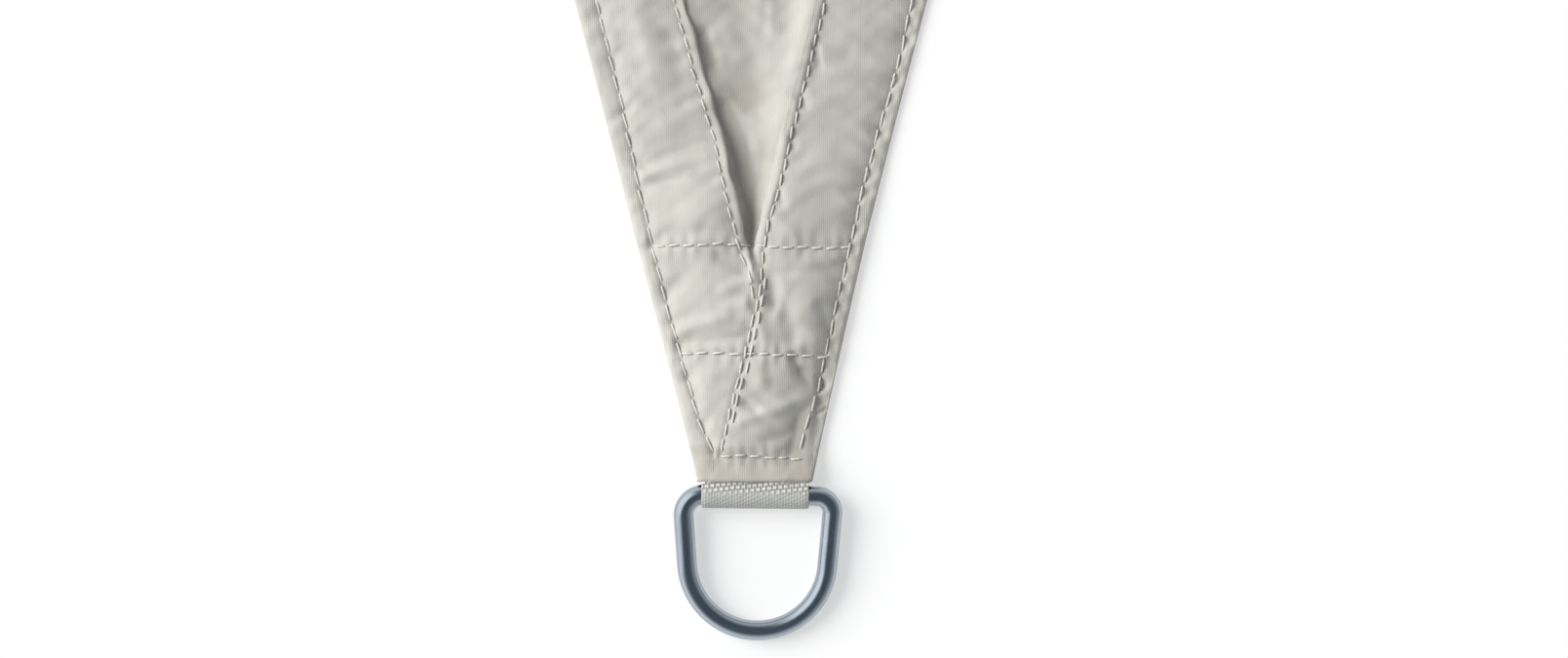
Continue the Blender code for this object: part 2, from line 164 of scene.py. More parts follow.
# Folds of the front corner, in mm: from, to, half width, height
FOLD_COLUMNS = ("a0", "b0", "a1", "b1", "width", "height")
FRONT_FOLDS = (
    # left hem
    (-34.0, 147.0, -29.0, 128.0, 4.0, 0.50),
    (-24.5, 138.0, -21.0, 125.0, 2.6, -0.35),
    (-23.0, 134.0, -21.0, 130.0, 1.5, -0.35),
    (-20.5, 117.5, -16.5, 119.5, 1.9, -0.35),
    (-34.0, 118.0, -24.0, 112.0, 4.0, 0.25),
    (-32.4, 99.2, -14.1, 106.2, 2.3, -0.62),
    (-32.4, 95.8, -14.7, 101.0, 1.8, 0.40),
    (-31.5, 93.2, -20.6, 95.0, 1.3, -0.26),
    (-16.5, 96.0, -12.6, 94.6, 1.9, -0.42),
    (-15.0, 85.0, -12.0, 78.0, 7.5, 0.80),
    (-19.5, 104.5, -17.0, 101.5, 6.0, -0.60),
    (-13.5, 79.5, -6.0, 77.5, 2.4, -0.50),
    # open cloth between the hems
    (-14.4, 138.0, -11.4, 130.0, 3.0, -1.00),
    (9.0, 150.0, 11.4, 141.0, 4.5, -0.60),
    (-5.0, 152.0, -2.0, 122.0, 7.5, -1.10),
    (-8.4, 116.0, -4.0, 105.5, 3.6, -1.40),
    (-4.0, 105.5, -1.2, 90.0, 3.2, -1.50),
    (-1.4, 90.0, -0.4, 75.5, 2.0, -1.20),
    (-1.6, 121.5, 0.6, 118.5, 5.0, -0.85),
    (4.5, 149.0, 3.0, 136.0, 2.4, -0.45),
    (19.6, 148.0, 14.4, 126.0, 3.6, 0.95),
    (12.6, 117.0, 9.6, 104.0, 4.2, 0.90),
    (-7.0, 140.0, -3.0, 133.0, 3.4, 0.60),
    # right hem
    (25.4, 133.2, 28.4, 132.2, 3.4, -0.42),
    (20.2, 134.0, 20.6, 129.0, 1.4, -0.55),
    (15.4, 118.6, 16.4, 116.6, 1.5, -0.50),
    (12.6, 107.0, 13.0, 104.6, 1.5, -0.50),
    (8.8, 90.0, 9.6, 87.6, 1.5, -0.50),
    (44.8, 137.6, 46.4, 137.0, 3.0, -0.50),
    (40.8, 124.6, 42.4, 124.0, 3.0, -0.50),
    (37.0, 110.6, 38.6, 110.0, 2.9, -0.50),
    (33.4, 95.6, 35.0, 95.0, 2.8, -0.45),
    (30.0, 81.0, 31.6, 80.4, 2.8, -0.45),
    (22.0, 103.0, 27.0, 97.0, 4.5, 0.30),
    (9.0, 82.0, 12.0, 79.0, 2.4, 0.35),
    (16.0, 124.0, 18.0, 121.0, 2.0, 0.30),
    # between the first and the second cross seam
    (-9.4, 71.0, -2.6, 66.0, 2.1, -0.50),
    (-8.0, 62.0, -1.6, 64.4, 1.8, 0.40),
    (-8.0, 56.2, -3.0, 56.8, 1.7, 0.35),
    (-20.5, 45.2, -3.0, 47.8, 1.7, -0.55),
    (-21.0, 49.6, -8.0, 53.4, 2.1, 0.42),
    (8.0, 66.4, 27.0, 68.4, 1.9, -0.34),
    (25.4, 69.2, 28.4, 69.8, 1.5, -0.45),
    (18.6, 57.0, 20.0, 48.0, 4.2, 0.70),
    (10.6, 56.0, 12.4, 47.0, 2.8, -0.60),
    (1.4, 51.2, 4.2, 45.6, 1.5, 0.20),
    (21.0, 57.0, 23.4, 49.0, 1.7, -0.42),
    (1.2, 72.6, 1.9, 69.4, 1.3, -0.45),
    (5.8, 64.4, 6.3, 57.6, 2.7, -0.80),
    (-1.6, 63.0, -0.6, 57.0, 2.4, -0.30),
    (-1.9, 51.5, -2.2, 46.5, 1.5, -0.30),
    (-2.2, 71.6, -0.4, 66.6, 1.2, 0.40),
    # between the second and the third
    (-18.6, 34.6, -16.0, 31.4, 1.5, -0.40),
    (-17.6, 38.6, -12.0, 36.0, 1.9, 0.25),
    (-1.6, 27.6, 1.4, 25.9, 1.35, -0.50),
    (-3.0, 22.4, 18.0, 29.4, 2.0, 0.60),
    (12.8, 41.2, 15.4, 37.0, 1.5, -1.00),
    (15.4, 37.0, 21.0, 32.6, 2.4, -1.40),
    (5.0, 16.4, 17.4, 20.6, 2.4, -0.70),
    (15.8, 14.0, 16.8, 21.0, 4.6, -0.90),
    (20.4, 28.0, 22.0, 36.0, 4.4, -0.70),
    (17.0, 22.9, 24.0, 26.4, 0.9, -0.95),
    (19.6, 31.0, 23.0, 32.4, 0.9, -0.35),
    (2.0, 39.4, 3.0, 35.0, 2.6, 0.60),
)
# Folds of the two corners that the picture leaves out
PLAIN_FOLDS = (
    (-31.0, 99.0, -15.0, 104.0, 2.6, -0.45),
    (-22.0, 138.0, -19.0, 124.0, 2.6, 0.35),
    (-6.0, 108.0, -1.0, 80.0, 3.0, -1.00),
    (10.0, 132.0, 7.0, 106.0, 3.4, 0.90),
    (31.0, 108.0, 36.0, 112.0, 2.2, -0.40),
    (-18.0, 46.0, -5.0, 48.0, 2.0, -0.40),
    (8.0, 56.0, 11.0, 46.0, 2.2, -0.40),
    (-3.0, 23.0, 15.0, 28.0, 2.2, 0.45),
    (12.0, 38.0, 18.0, 33.0, 2.0, -0.50),
)


# Plan


def corner_axes(number):
    """The middle of the bar, and the directions across the corner and inward."""
    angle = DIRECTIONS[number % 3]
    inward = np.array((-cos(angle), -sin(angle)))
    across = np.array((inward[1], -inward[0]))
    return -inward * SIDE / sqrt(3), across, inward


def plan_point(number, a, b):
    bar, across, inward = corner_axes(number)
    return bar + np.multiply.outer(a, across) + np.multiply.outer(b, inward)


def corner_place(number, points):
    bar, across, inward = corner_axes(number)
    return (points - bar) @ across, (points - bar) @ inward


def nearest_corners(points):
    reach = [np.hypot(*(points - corner_axes(number)[0]).T) for number in range(3)]
    return np.argmin(reach, axis=0), np.min(reach, axis=0)


def edge_arc(number):
    """Centre, radius, first angle and bend of the edge from a corner to the next one."""
    start = plan_point(number, END_HALF_WIDTH, END_SETBACK)
    end = plan_point(number + 1, -END_HALF_WIDTH, END_SETBACK)
    chord = end - start
    length = np.hypot(*chord)
    bend = radians(30) - TIP_HALF_ANGLE
    radius = length / (2 * sin(bend))
    outward = np.array((chord[1], -chord[0])) / length
    centre = (start + end) / 2 + outward * radius * cos(bend)
    return centre, radius, atan2(start[1] - centre[1], start[0] - centre[0]), bend


EDGES = [edge_arc(number) for number in range(3)]
EDGE_LENGTH = 2 * EDGES[0][1] * EDGES[0][3]


def edge_points(edge, runs, inset):
    """Points at distances along an edge, set in from it."""
    centre, radius, first, _ = EDGES[edge % 3]
    angles = first - np.asarray(runs) / radius
    return centre + (radius + inset) * np.stack((np.cos(angles), np.sin(angles)), axis=-1)


def edge_place(edge, points):
    """How far along an edge points lie, and how far inside it."""
    centre, radius, first, _ = EDGES[edge % 3]
    out = points - centre
    turn = first - np.arctan2(out[..., 1], out[..., 0])
    turn = (turn + pi) % (2 * pi) - pi
    return turn * radius, np.hypot(out[..., 0], out[..., 1]) - radius


def inward_from(edge, points):
    out = points - EDGES[edge % 3][0]
    return out / np.hypot(out[..., 0], out[..., 1])[..., None]


def edge_spacing(number, reach):
    close, held = SPACINGS[number % 3]
    return min(close + EDGE_GROWTH * max(0.0, reach - held), EDGE_MOST)


def open_spacing(number, reach):
    close, held = SPACINGS[number % 3]
    return min(close + OPEN_GROWTH * max(0.0, reach - held), OPEN_MOST)


def edge_runs(edge):
    """Distances along an edge, close together near both of its corners."""
    halves = []
    for number in (edge, edge + 1):
        run = [0.0]
        while run[-1] < EDGE_LENGTH / 2:
            run.append(run[-1] + edge_spacing(number, run[-1]))
        halves.append(np.array(run) * EDGE_LENGTH / 2 / run[-1])
    return np.concatenate((halves[0], EDGE_LENGTH - halves[1][-2::-1]))


# Heights, in mm

PACKET_LOFT = 0.45  # of the cloth over the loop's leg
CROWN = 0.055  # height of the cloth between the hems, as a share of its half width
CROWN_REACH = 330.0
RIM = 0.30  # share of the packet's height that the edges keep, and what the tip adds
TIP_RIM = 0.63
LEAST_CLOTH = 0.35
LEG_DROP = 1.05  # from the packet's top to the least height over the leg
SOFTNESS = 0.30  # with which the cloth nears its least height
END_DROP = 0.42  # of the cloth at its blunt end
END_DROP_REACH = 3.2
FOLD_SCALE = 1.5  # of the heights in the tables of folds
FOLDS_END = 200.0

# Ramps: where each starts and how long it is. Along b, which runs inward from the bar:
TIP_RIM_ENDS = (4.0, 16.0)
CROWN_STARTS = (30.0, 70.0)
FAR = (90.0, 260.0)
HEMS_PART = (70.0, 8.0)
LAP_PARTS = (66.0, 7.0)
RIGHT_LEVELS = (100.0, 12.0)
SINK_STARTS = (66.0, 14.0)
SINK_EASES = (104.0, 22.0)
SINK_ENDS = (170.0, 240.0)
RIDGE_STARTS = (10.5, 5.0)
RIDGE_ENDS = (60.0, 15.0)
GATHERS_START = (5.5, 4.0)
GROOVES_START = (10.5, 1.5)
STRIP_ENDS = (9.0, 3.5)
RUMPLE_ENDS = (190.0, 120.0)
SIDE_SHADE_ENDS = (8.0, 5.0)
TIP_SHADE_ENDS = (9.0, 3.0)
# From an edge inward:
BODY = (0.0, 1.2)
LIP_RISES = (30.0, 1.2)
RIGHT_LIFT_STARTS = (12.0, 17.0)
RIGHT_LIFT_ENDS = (29.6, 3.4)
LEFT_LIFT_STARTS = (12.0, 19.0)
PAST_FOLD = (LIP_END, 4.0)
PAST_LAP = (LIP_END, 3.5)
SWELL_STARTS = (FOLD, 150.0)
# Along a hem from either corner, and to the sides of the corner's middle line:
NEAR_SEAMS = (150.0, 120.0)
RIDGE_RIGHT = (12.0, 14.0)
RIDGE_LEFT = (3.0, 24.0)
SHADE_RIGHT = (10.0, 6.0)
SHADE_LEFT = (12.0, 5.0)
# From the leg's side, and from its end:
LEG_SIDE = (0.3, 4.0)
PAST_LEG = (LEG_END + 1, 3.0)

# How the open cloth lies: at least this high, higher far off, and lower between the hems
FAR_LOOSE = 0.6
SINK = 0.30
SINK_AT_MEETING = 0.58
SINK_BY_FOLD = 0.45  # share of it that is reached beside the fold
LEVEL_HEIGHT = 1.1
LEVEL_SPREAD = 6.5
LEVEL_KEPT = 0.9

# Where the folds' edges stand up: b, half width, height
RIGHT_LIFT = ((130.0, 16.0, 0.2), (88.0, 13.0, 0.9))
LEFT_LIFT = ((133.0, 6.5, 0.7), (95.0, 18.0, 1.9))
FAR_LIFT = 0.3
SCALLOP_SHARE = ((30.2, 0.0), (32.1, 1.0), (38.0, 0.0))
RIGHT_SCALLOPS = 0.35
LEFT_SCALLOPS = 0.5
# The strip past the last cross seam: up to where, and its distances from the edge with heights
STRIP_REACH = 13.0
STRIP = ((0.0, 0.42), (0.4, 0.72), (0.9, 1.02), (1.6, 1.20), (3.0, 1.30))
LAP_STEP = 0.12
LAP_STEP_WIDTH = 2.5
LAP_GROOVE = 0.32
LAP_GROOVE_WIDTH = 0.7

# What stitches pull into a hem: distance from the edge, half width, depth
RIGHT_GRIP = 0.75  # depth of the dents in the roll
LEFT_GRIP = 0.25
ROLL_DENTS = (2.9, 1.3)
BAND_DENTS = (6.0, 1.3, 0.22)
FOLD_DENTS = (27.6, 1.2, 0.16)
LIP_DENTS = (30.6, 0.9, 0.12)
OUTER_PUCKERS = (6.5, 4.6)
OUTER_PUCKER = 0.95  # depth of the deepest one
OUTER_REST = 0.25  # how far the hem stands up between them
INNER_PUCKERS = (26.0, 3.8)
INNER_PUCKER = 0.40
INNER_REST = 0.10
RIPPLES = (16.0, 13.0, 1.0)
SLANT = 0.35

# The ridge under the strands of stitches that run on to the tip
STRANDS_A = -9.6
STRANDS_B = 10.6
STRANDS_SLOPE = 0.235
RIDGE = 1.9

# The cross seams: half width and depth of the groove, pitch and half width of the gathers
CROSS_GROOVE = (0.75, 0.30)
GATHERS = (3.8, 3.6)

# Painted shade of the seams, troughs and hollows: along the left fold, in spots, and at the tip
GROOVE = 0.5
TROUGH_FROM = 0.4  # depth at which a trough starts to be shaded
TROUGH_RANGE = 2.2
TROUGH_SHADE = 0.6
FOLD_SHADE = 0.8
FOLD_SHADE_REACH = 5.5
FOLD_SHADES = ((97.0, 24.0, 1.0), (134.0, 11.0, 0.6))
FRONT_SPOTS = ((-2.0, 6.0, 121.0, 5.0, 0.7),)
CROSSING_SPOTS = ((4.7, 1.5, 60.5, 3.8, 0.9), (-0.4, 1.1, 60.5, 3.8, 0.63))
TIP_SHADE = 0.70
LAST_SEAM_SHADE = ((11.6, 2.4, 0.5),)


def smooth(x):
    x = np.clip(x, 0.0, 1.0)
    return x * x * (3 - 2 * x)


def ramp(x, start, length):
    """From 0 at the start to 1 at a length from it."""
    return smooth((x - start) / length)


def bump(distance, width):
    return np.exp(-((distance / width) ** 2))


def bump_at(x, middle, width, height=1.0):
    return height * bump(x - middle, width)


def bumps(x, table):
    return sum(bump_at(x, *row) for row in table)


def spots(a, b, table):
    """Soft spots. Of each: middle and half width along a, the same along b, and height."""
    return sum(bump_at(a, *row[:2]) * bump_at(b, *row[2:]) for row in table)


def from_table(x, table):
    return np.interp(x, *zip(*table))


def unevenness(run, wave, seed):
    """A soft uneven wave from -1 to 1 along a run."""
    turns = 2 * pi * np.asarray(run) / wave
    swing = np.sin(turns + seed) + 0.8 * np.sin(0.61 * turns + 2.3 * seed + 1.0)
    return (swing + 0.7 * np.sin(1.73 * turns + 4.1 * seed + 2.0)) / 2.5


def pulses(run, pitch):
    """1 at the end of each stitch, and 0 in its middle."""
    return 0.5 + 0.5 * np.cos(2 * pi * run / pitch)


def half_width(b):
    return END_HALF_WIDTH + (b - END_SETBACK) * tan(TIP_HALF_ANGLE)


def end_shift(b):
    """The corner's end sits a little to one side, as it is sewn."""
    return END_SHIFT * np.maximum(0.0, 1 - b / SHIFT_REACH)


def loop_tangent(b, height, side):
    """The angle at which the webbing leaves the bar's round for a place on a leg."""
    reach = sqrt(b * b + (height - BAR_HEIGHT) ** 2)
    return atan2(height - BAR_HEIGHT, b) + side * acos(LOOP_RADIUS / reach)


UPPER_TANGENT = loop_tangent(KNEE, UPPER_LEG, 1)
LOWER_TANGENT = loop_tangent(HEEL, LOWER_LEG, -1) + 2 * pi
RISE = pi / 2 - UPPER_TANGENT


def packet_height(b):
    """Height of the cloth over the loop's upper leg, before its hems."""
    cover = WEBBING / 2 + GAP
    sloped = UPPER_LEG + (KNEE - b) * tan(RISE) + cover / cos(RISE)
    return np.where(b < KNEE, sloped, UPPER_LEG + cover) + PACKET_LOFT


def ground_swell(x, y):
    """Long low waves, from 0 to 1, of cloth that lies loose on a floor. Wave lengths are in mm."""
    swell = np.sin(x / 150 + 0.8 * np.sin(y / 340) + 0.6) * np.sin(y / 185 + 1.1)
    swell += 0.7 * np.sin((x + 0.6 * y) / 96 + 1.2 * np.sin((x - y) / 260))
    swell += 0.4 * np.sin((1.4 * x - y) / 71 + np.sin(y / 130))
    return 0.5 + swell / 4.2


def base_height(a, b):
    """What the hems lie on: the crown that the loop's legs lift near a corner."""
    width = half_width(np.maximum(b, END_SETBACK))
    across = np.clip(np.abs(a) / width, 0.0, 1.0)
    crown = CROWN * width * (1 - across**2) * bump(b, CROWN_REACH)
    rim = RIM + TIP_RIM * (1 - ramp(b, *TIP_RIM_ENDS))
    legs = rim + (1 - rim) * (1 - across**2.4)
    packet = (packet_height(b) - COVER) * legs * (1 - ramp(b, PACKET_END, PACKET_FADE))
    return crown * ramp(b, *CROWN_STARTS), packet


def fold_field(a, b, folds):
    """Soft troughs and ridges, each along a short line. Where two meet, they melt into one."""
    ridges = np.zeros_like(a)
    troughs = np.zeros_like(a)
    for row in folds:
        fold = dict(zip(FOLD_COLUMNS, row))
        start = np.array((fold["a0"], fold["b0"]))
        along = np.array((fold["a1"], fold["b1"])) - start
        place_a, place_b = a - start[0], b - start[1]
        share = np.clip((place_a * along[0] + place_b * along[1]) / (along @ along), 0.0, 1.0)
        off = np.hypot(place_a - along[0] * share, place_b - along[1] * share)
        fold_height = fold["height"] * bump(off, fold["width"])
        ridges += np.maximum(fold_height, 0.0) ** 3
        troughs += np.minimum(fold_height, 0.0) ** 3
    return np.cbrt(ridges) + np.cbrt(troughs)


def rumple(x, y):
    """Low uneven lumps of sewn satin, wider than they are long."""
    u = x / 3.4 + 0.9 * np.sin(y / 6.3)
    v = (y + 0.25 * x) / 1.7 + 0.8 * np.sin(x / 5.1)
    large = np.sin(u + 1.3 * np.sin(0.37 * v)) * np.sin(v + 1.1 * np.sin(0.41 * u))
    u = (x + 0.3 * y) / 1.7 + 1.1 * np.sin(y / 4.7 + 1.0)
    v = (y - 0.2 * x) / 0.95 + 0.9 * np.sin(x / 3.9)
    return 0.25 * large + 0.07 * np.sin(u) * np.sin(v)


def roll_only(inset):
    """The hem's profile without its inner seam and fold."""
    return from_table(np.minimum(inset, ROLL_AND_BAND[-1][0]), ROLL_AND_BAND)


def stitch_pull(run, inset, seed, grip):
    """Dents that the outer and inner stitches pull into a hem, and its longer puckers."""
    near = 1 - ramp(np.minimum(run, EDGE_LENGTH - run), *NEAR_SEAMS)
    outer = pulses(run, OUTER_PITCH) * (0.75 + 0.5 * unevenness(run, 17.0, seed))
    inner = pulses(run, INNER_PITCH)
    uneven = 0.8 + 0.5 * unevenness(run, 13.0, seed + 3)
    pull = outer * (bump_at(inset, *ROLL_DENTS, grip) + bump_at(inset, *BAND_DENTS))
    pull += inner * (uneven * bump_at(inset, *FOLD_DENTS) + bump_at(inset, *LIP_DENTS))
    outer_dip = np.maximum(0.0, unevenness(run - SLANT * inset, 14.0, seed + 1))
    inner_dip = np.maximum(0.0, unevenness(run + SLANT * inset, 15.0, seed + 5))
    pull += (OUTER_PUCKER * outer_dip - OUTER_REST) * bump_at(inset, *OUTER_PUCKERS)
    pull += (INNER_PUCKER * inner_dip - INNER_REST) * bump_at(inset, *INNER_PUCKERS)
    slanted = run + 0.8 * inset
    ripple = 0.30 * unevenness(slanted, 52.0, seed + 2) + 0.22 * unevenness(slanted, 31.0, seed + 7)
    return ripple * (1 - near) * bump_at(inset, *RIPPLES) - pull * near


class CornerPoints:
    """Plan points nearest to one corner: where they lie in its frame and on its two hems."""

    def __init__(self, number, place):
        self.number, self.place = number, place
        self.seed = 1.7 * number
        self.a, self.b = corner_place(number, place)
        self.sewn_a = self.a + end_shift(self.b)
        self.run_right, self.right = edge_place(number, place)
        run_left, self.left = edge_place(number + 2, place)
        self.run_left = EDGE_LENGTH - run_left
        self.inset = np.minimum(self.right, self.left)
        self.in_right = self.right < LIP_END - 0.06
        self.in_left = ~self.in_right & (self.left < LIP_END - 0.06)
        self.in_open = ~self.in_right & ~self.in_left
        self.lap = smooth((LIP_END + 2 - self.left) / 4)  # of the right hem, over the left one
        self.far = ramp(self.b, *FAR)
        # the open cloth comes level with the hems where they meet, and with the right fold farther up
        self.meeting = 1.0 - ramp(self.b, *HEMS_PART)
        self.by_right = bump(self.right - LIP_END, LEVEL_SPREAD)
        by_fold = LEVEL_HEIGHT * self.by_right * ramp(self.b, *RIGHT_LEVELS)
        self.level = np.maximum(self.meeting, by_fold) * (1 - self.far)


def cloth_height(at):
    """The cloth without its hems: loose far off, crowned at the corner, sunk between the hems."""
    inside = ramp(at.inset, *SWELL_STARTS)
    loose = OPEN_CLOTH + (FAR_LOOSE + SWELL * inside) * ground_swell(*at.place.T) * at.far
    crown, packet = base_height(at.a, at.b)
    base = loose + crown + packet
    sink = SINK + SINK_AT_MEETING * (1 - ramp(at.b, *SINK_EASES))
    sink *= (1 - ramp(at.b, *SINK_ENDS)) * ramp(at.b, *SINK_STARTS)
    sink *= 1 - LEVEL_KEPT * at.by_right * ramp(at.b, *RIGHT_LEVELS)
    sink *= SINK_BY_FOLD + (1 - SINK_BY_FOLD) * ramp(at.inset, *PAST_FOLD)
    sunk = OPEN_CLOTH + (base - OPEN_CLOTH) * (1 - sink)
    return np.where(at.in_open, sunk + at.level, base)


def right_hem(at):
    """The right hem, whose fold lies down. Near the tip it laps over the left one."""
    hem = np.minimum(from_table(at.right, ROLL_AND_BAND + FOLD_DOWN), roll_only(at.left))
    hem = np.maximum(hem, at.level * ramp(at.right, *LIP_RISES))
    under = np.minimum(roll_only(at.left), roll_only(at.right))
    lapped = under + LAP_STEP * smooth((LIP_END - at.right) / LAP_STEP_WIDTH)
    lapped -= LAP_GROOVE * bump(at.right - INNER_SEAM, LAP_GROOVE_WIDTH)
    hem += at.lap * (np.maximum(lapped, hem) - hem)
    hem += stitch_pull(at.run_right, at.right, at.seed, RIGHT_GRIP)
    lift = bumps(at.b, RIGHT_LIFT) + FAR_LIFT * at.far
    return hem + lift * ramp(at.right, *RIGHT_LIFT_STARTS) * (1 - ramp(at.right, *RIGHT_LIFT_ENDS))


def left_hem(at):
    """The left hem, whose fold stands up over the open cloth."""
    hem = np.minimum(from_table(at.left, ROLL_AND_BAND + FOLD_UP), roll_only(at.right))
    hem = np.maximum(hem, at.meeting * ramp(at.left, *LIP_RISES))
    beside_lap = (1 - ramp(at.right, *PAST_LAP)) * (1 - ramp(at.b, *LAP_PARTS))
    hem += (np.minimum(roll_only(at.left), roll_only(at.right)) - hem) * beside_lap
    hem += stitch_pull(at.run_left, at.left, at.seed + 0.9, LEFT_GRIP) * ramp(at.right, *PAST_FOLD)
    lift = bumps(at.b, LEFT_LIFT) + FAR_LIFT * at.far
    return hem + lift * ramp(at.left, *LEFT_LIFT_STARTS)


def strand_ridge(at):
    """The broad ridge under the two strands of stitches, steeper on its right side."""
    off = at.sewn_a - STRANDS_A - STRANDS_SLOPE * (at.b - STRANDS_B)
    ridge = 1 - np.where(off > 0, ramp(off, *RIDGE_RIGHT), ramp(-off, *RIDGE_LEFT))
    return RIDGE * ridge * ramp(at.b, *RIDGE_STARTS) * (1 - ramp(at.b, *RIDGE_ENDS))


def cross_dent(at, seam):
    """The groove of a cross seam, and the small waves that it gathers beside it."""
    width, depth = CROSS_GROOVE
    pitch, reach = GATHERS
    waves = np.cos(2 * pi * at.a / pitch + 0.9 * np.sin(at.a / 5.0) + seam)
    waves *= 0.14 + 0.12 * unevenness(at.a, 11.0, seam)
    waves *= bump(at.b - seam, reach) * ramp(at.b, *GATHERS_START)
    return depth * bump(at.b - seam, width) + waves


def above_ground(at, top):
    """The height, softly kept off the ground and off the loop's leg."""
    top = top - END_DROP * (1 - ramp(at.b, END_SETBACK, END_DROP_REACH))
    from_leg = np.abs(at.sewn_a - END_SHIFT + at.b * sin(LOOP_TURN)) - WEBBING_WIDTH / 2
    over_leg = 1 - ramp(from_leg, *LEG_SIDE)
    over_leg *= 1 - ramp(at.b, *PAST_LEG)
    lowest = LEAST_CLOTH + (packet_height(at.b) - LEG_DROP) * over_leg
    above = top - lowest
    return lowest + (above + np.hypot(above, SOFTNESS)) / 2


def seam_wander(run, inset, outer, inner):
    """How far the seams of a hem lie inward of their even line."""
    shift = from_table(run, outer) * from_table(inset, OUTER_SHARE)
    return shift + from_table(run, inner) * from_table(inset, INNER_SHARE)


def lip_shifts(at):
    """How far inward the right and the left hem's folds and seams lie."""
    right = from_table(at.right, LIP_SHIFT)
    left = from_table(at.left, LIP_SHIFT)
    scallops_right = RIGHT_SCALLOPS * unevenness(at.run_right, 19.0, at.seed + 6)
    scallops_left = LEFT_SCALLOPS * unevenness(at.run_left, 17.0, at.seed + 4)
    right += scallops_right * from_table(at.right, SCALLOP_SHARE)
    left += scallops_left * from_table(at.left, SCALLOP_SHARE)
    right *= (1 - at.lap) * np.clip(1 - 3.0 * at.level, 0, 1)
    left *= np.clip((at.right - LIP_END) / 1.5, 0, 1) * (1 - at.meeting)
    if at.number == 0:
        right += seam_wander(at.run_right, at.right, RIGHT_OUTER_WANDER, RIGHT_INNER_WANDER)
        by_left = seam_wander(at.run_left, at.left, LEFT_OUTER_WANDER, LEFT_INNER_WANDER)
        left += by_left * np.clip((at.right - 30) / 4, 0, 1)
    return right, left


def painted_shades(at, creases):
    """How much painted shade a place takes: in a seam or a trough, in a fold's shadow, in spots, and more
    towards the tip and its sides.
    """
    deep = np.zeros_like(at.b)
    for seam in (OUTER_SEAM, INNER_SEAM):
        by_left = np.where(at.in_right, 0.0, bump(at.left - seam, GROOVE))
        deep += np.maximum(bump(at.right - seam, GROOVE), by_left) * ramp(at.b, *GROOVES_START)
    deep += np.clip((-creases - TROUGH_FROM) / TROUGH_RANGE, 0.0, TROUGH_SHADE)
    in_open = FOLD_SHADE * bump(at.left - LIP_END, FOLD_SHADE_REACH) * bumps(at.b, FOLD_SHADES)
    if at.number == 0:
        in_open += spots(at.sewn_a, at.b, FRONT_SPOTS)
    deep += np.where(at.in_open, in_open, 0.0)
    sides = ramp(at.sewn_a, *SHADE_RIGHT) + 0.6 * ramp(-at.sewn_a, *SHADE_LEFT)
    deep += TIP_SHADE * (1 - ramp(at.b, *SIDE_SHADE_ENDS)) * sides
    deep += TIP_SHADE * (1 - ramp(at.b, *TIP_SHADE_ENDS))
    return deep + bumps(at.b, LAST_SEAM_SHADE) + spots(at.sewn_a, at.b, CROSSING_SPOTS)


def sail_heights(points):
    """Height of the upper side, how much painted shade a place takes in a seam or fold, and the lip's shift.
    """
    numbers, _ = nearest_corners(points)
    height = np.zeros(len(points))
    painted_shade = np.zeros(len(points))
    moved = np.zeros((len(points), 2))
    for number in range(3):
        here = numbers == number
        at = CornerPoints(number, points[here])
        hems = np.where(at.in_right, right_hem(at), 0.0) + np.where(at.in_left, left_hem(at), 0.0)
        strip = np.where(at.b < STRIP_REACH, from_table(at.inset, STRIP), 0.0)
        top = cloth_height(at) + (strip + (hems - strip) * ramp(at.b, *STRIP_ENDS))
        top += strand_ridge(at)

        close = at.b < FOLDS_END
        folds = FRONT_FOLDS if number == 0 else PLAIN_FOLDS
        creases = np.where(close, FOLD_SCALE * fold_field(at.sewn_a, at.b, folds), 0.0)
        body = ramp(at.inset, *BODY)
        near = 1 - ramp(at.b, *RUMPLE_ENDS)
        top += (creases + rumple(*at.place.T) * near) * body
        for seam in CROSS_SEAMS:
            top -= np.where(close, cross_dent(at, seam) * body, 0.0)
        height[here] = above_ground(at, top)

        painted_shade[here] = painted_shades(at, creases)
        lip_right, lip_left = lip_shifts(at)
        moved[here] = inward_from(number, at.place) * lip_right[:, None]
        moved[here] += inward_from(number + 2, at.place) * lip_left[:, None]
    return height, np.clip(painted_shade, 0.0, 1.0), moved


def sewn(points):
    """Plan points in the frame's place, set to the side near the tips."""
    numbers, _ = nearest_corners(points)
    placed = points + MIDDLE
    for number in range(3):
        here = numbers == number
        _, b = corner_place(number, points[here])
        placed[here] += np.multiply.outer(end_shift(b), corner_axes(number)[1])
    return placed


# The cloth

UNDER_SPACING = 14.0  # of the underside's points, at the tips
ROW_SHARE = 0.62  # of the spacing that a loose point keeps from the rows
# painted shade that the wall under the rim takes
EDGE_SHADE = 0.3
EDGE_BULGE = 1.4
MOUTH_DEPTH = 6.0
MOUTH_SIDE = 0.9
SIDE_TREND = 0.06  # by which the mouth's ceiling falls faster than the leg
# Of the edge's rows, from the top: bulge, share of the height, whether it lies in the mouth
EDGE_ROWS = ((0.30, 0.86, 0.0), (0.42, 0.60, 0.0), (0.42, 0.60, 1.0), (0.34, 0.30, 1.0), (0.34, 0.30, 0.0))


def outline():
    """The sail's closed outline: each corner's blunt end, then the edge to the next corner."""
    rows = []
    for number in range(3):
        steps = round(2 * END_HALF_WIDTH / SPACINGS[number][0])
        across = END_HALF_WIDTH * (2 * np.arange(steps) / steps - 1)
        rows.append(plan_point(number, across, np.full(steps, END_SETBACK)))
        rows.append(edge_points(number, edge_runs(number)[:-1], EDGE_START))
    return np.concatenate(rows)


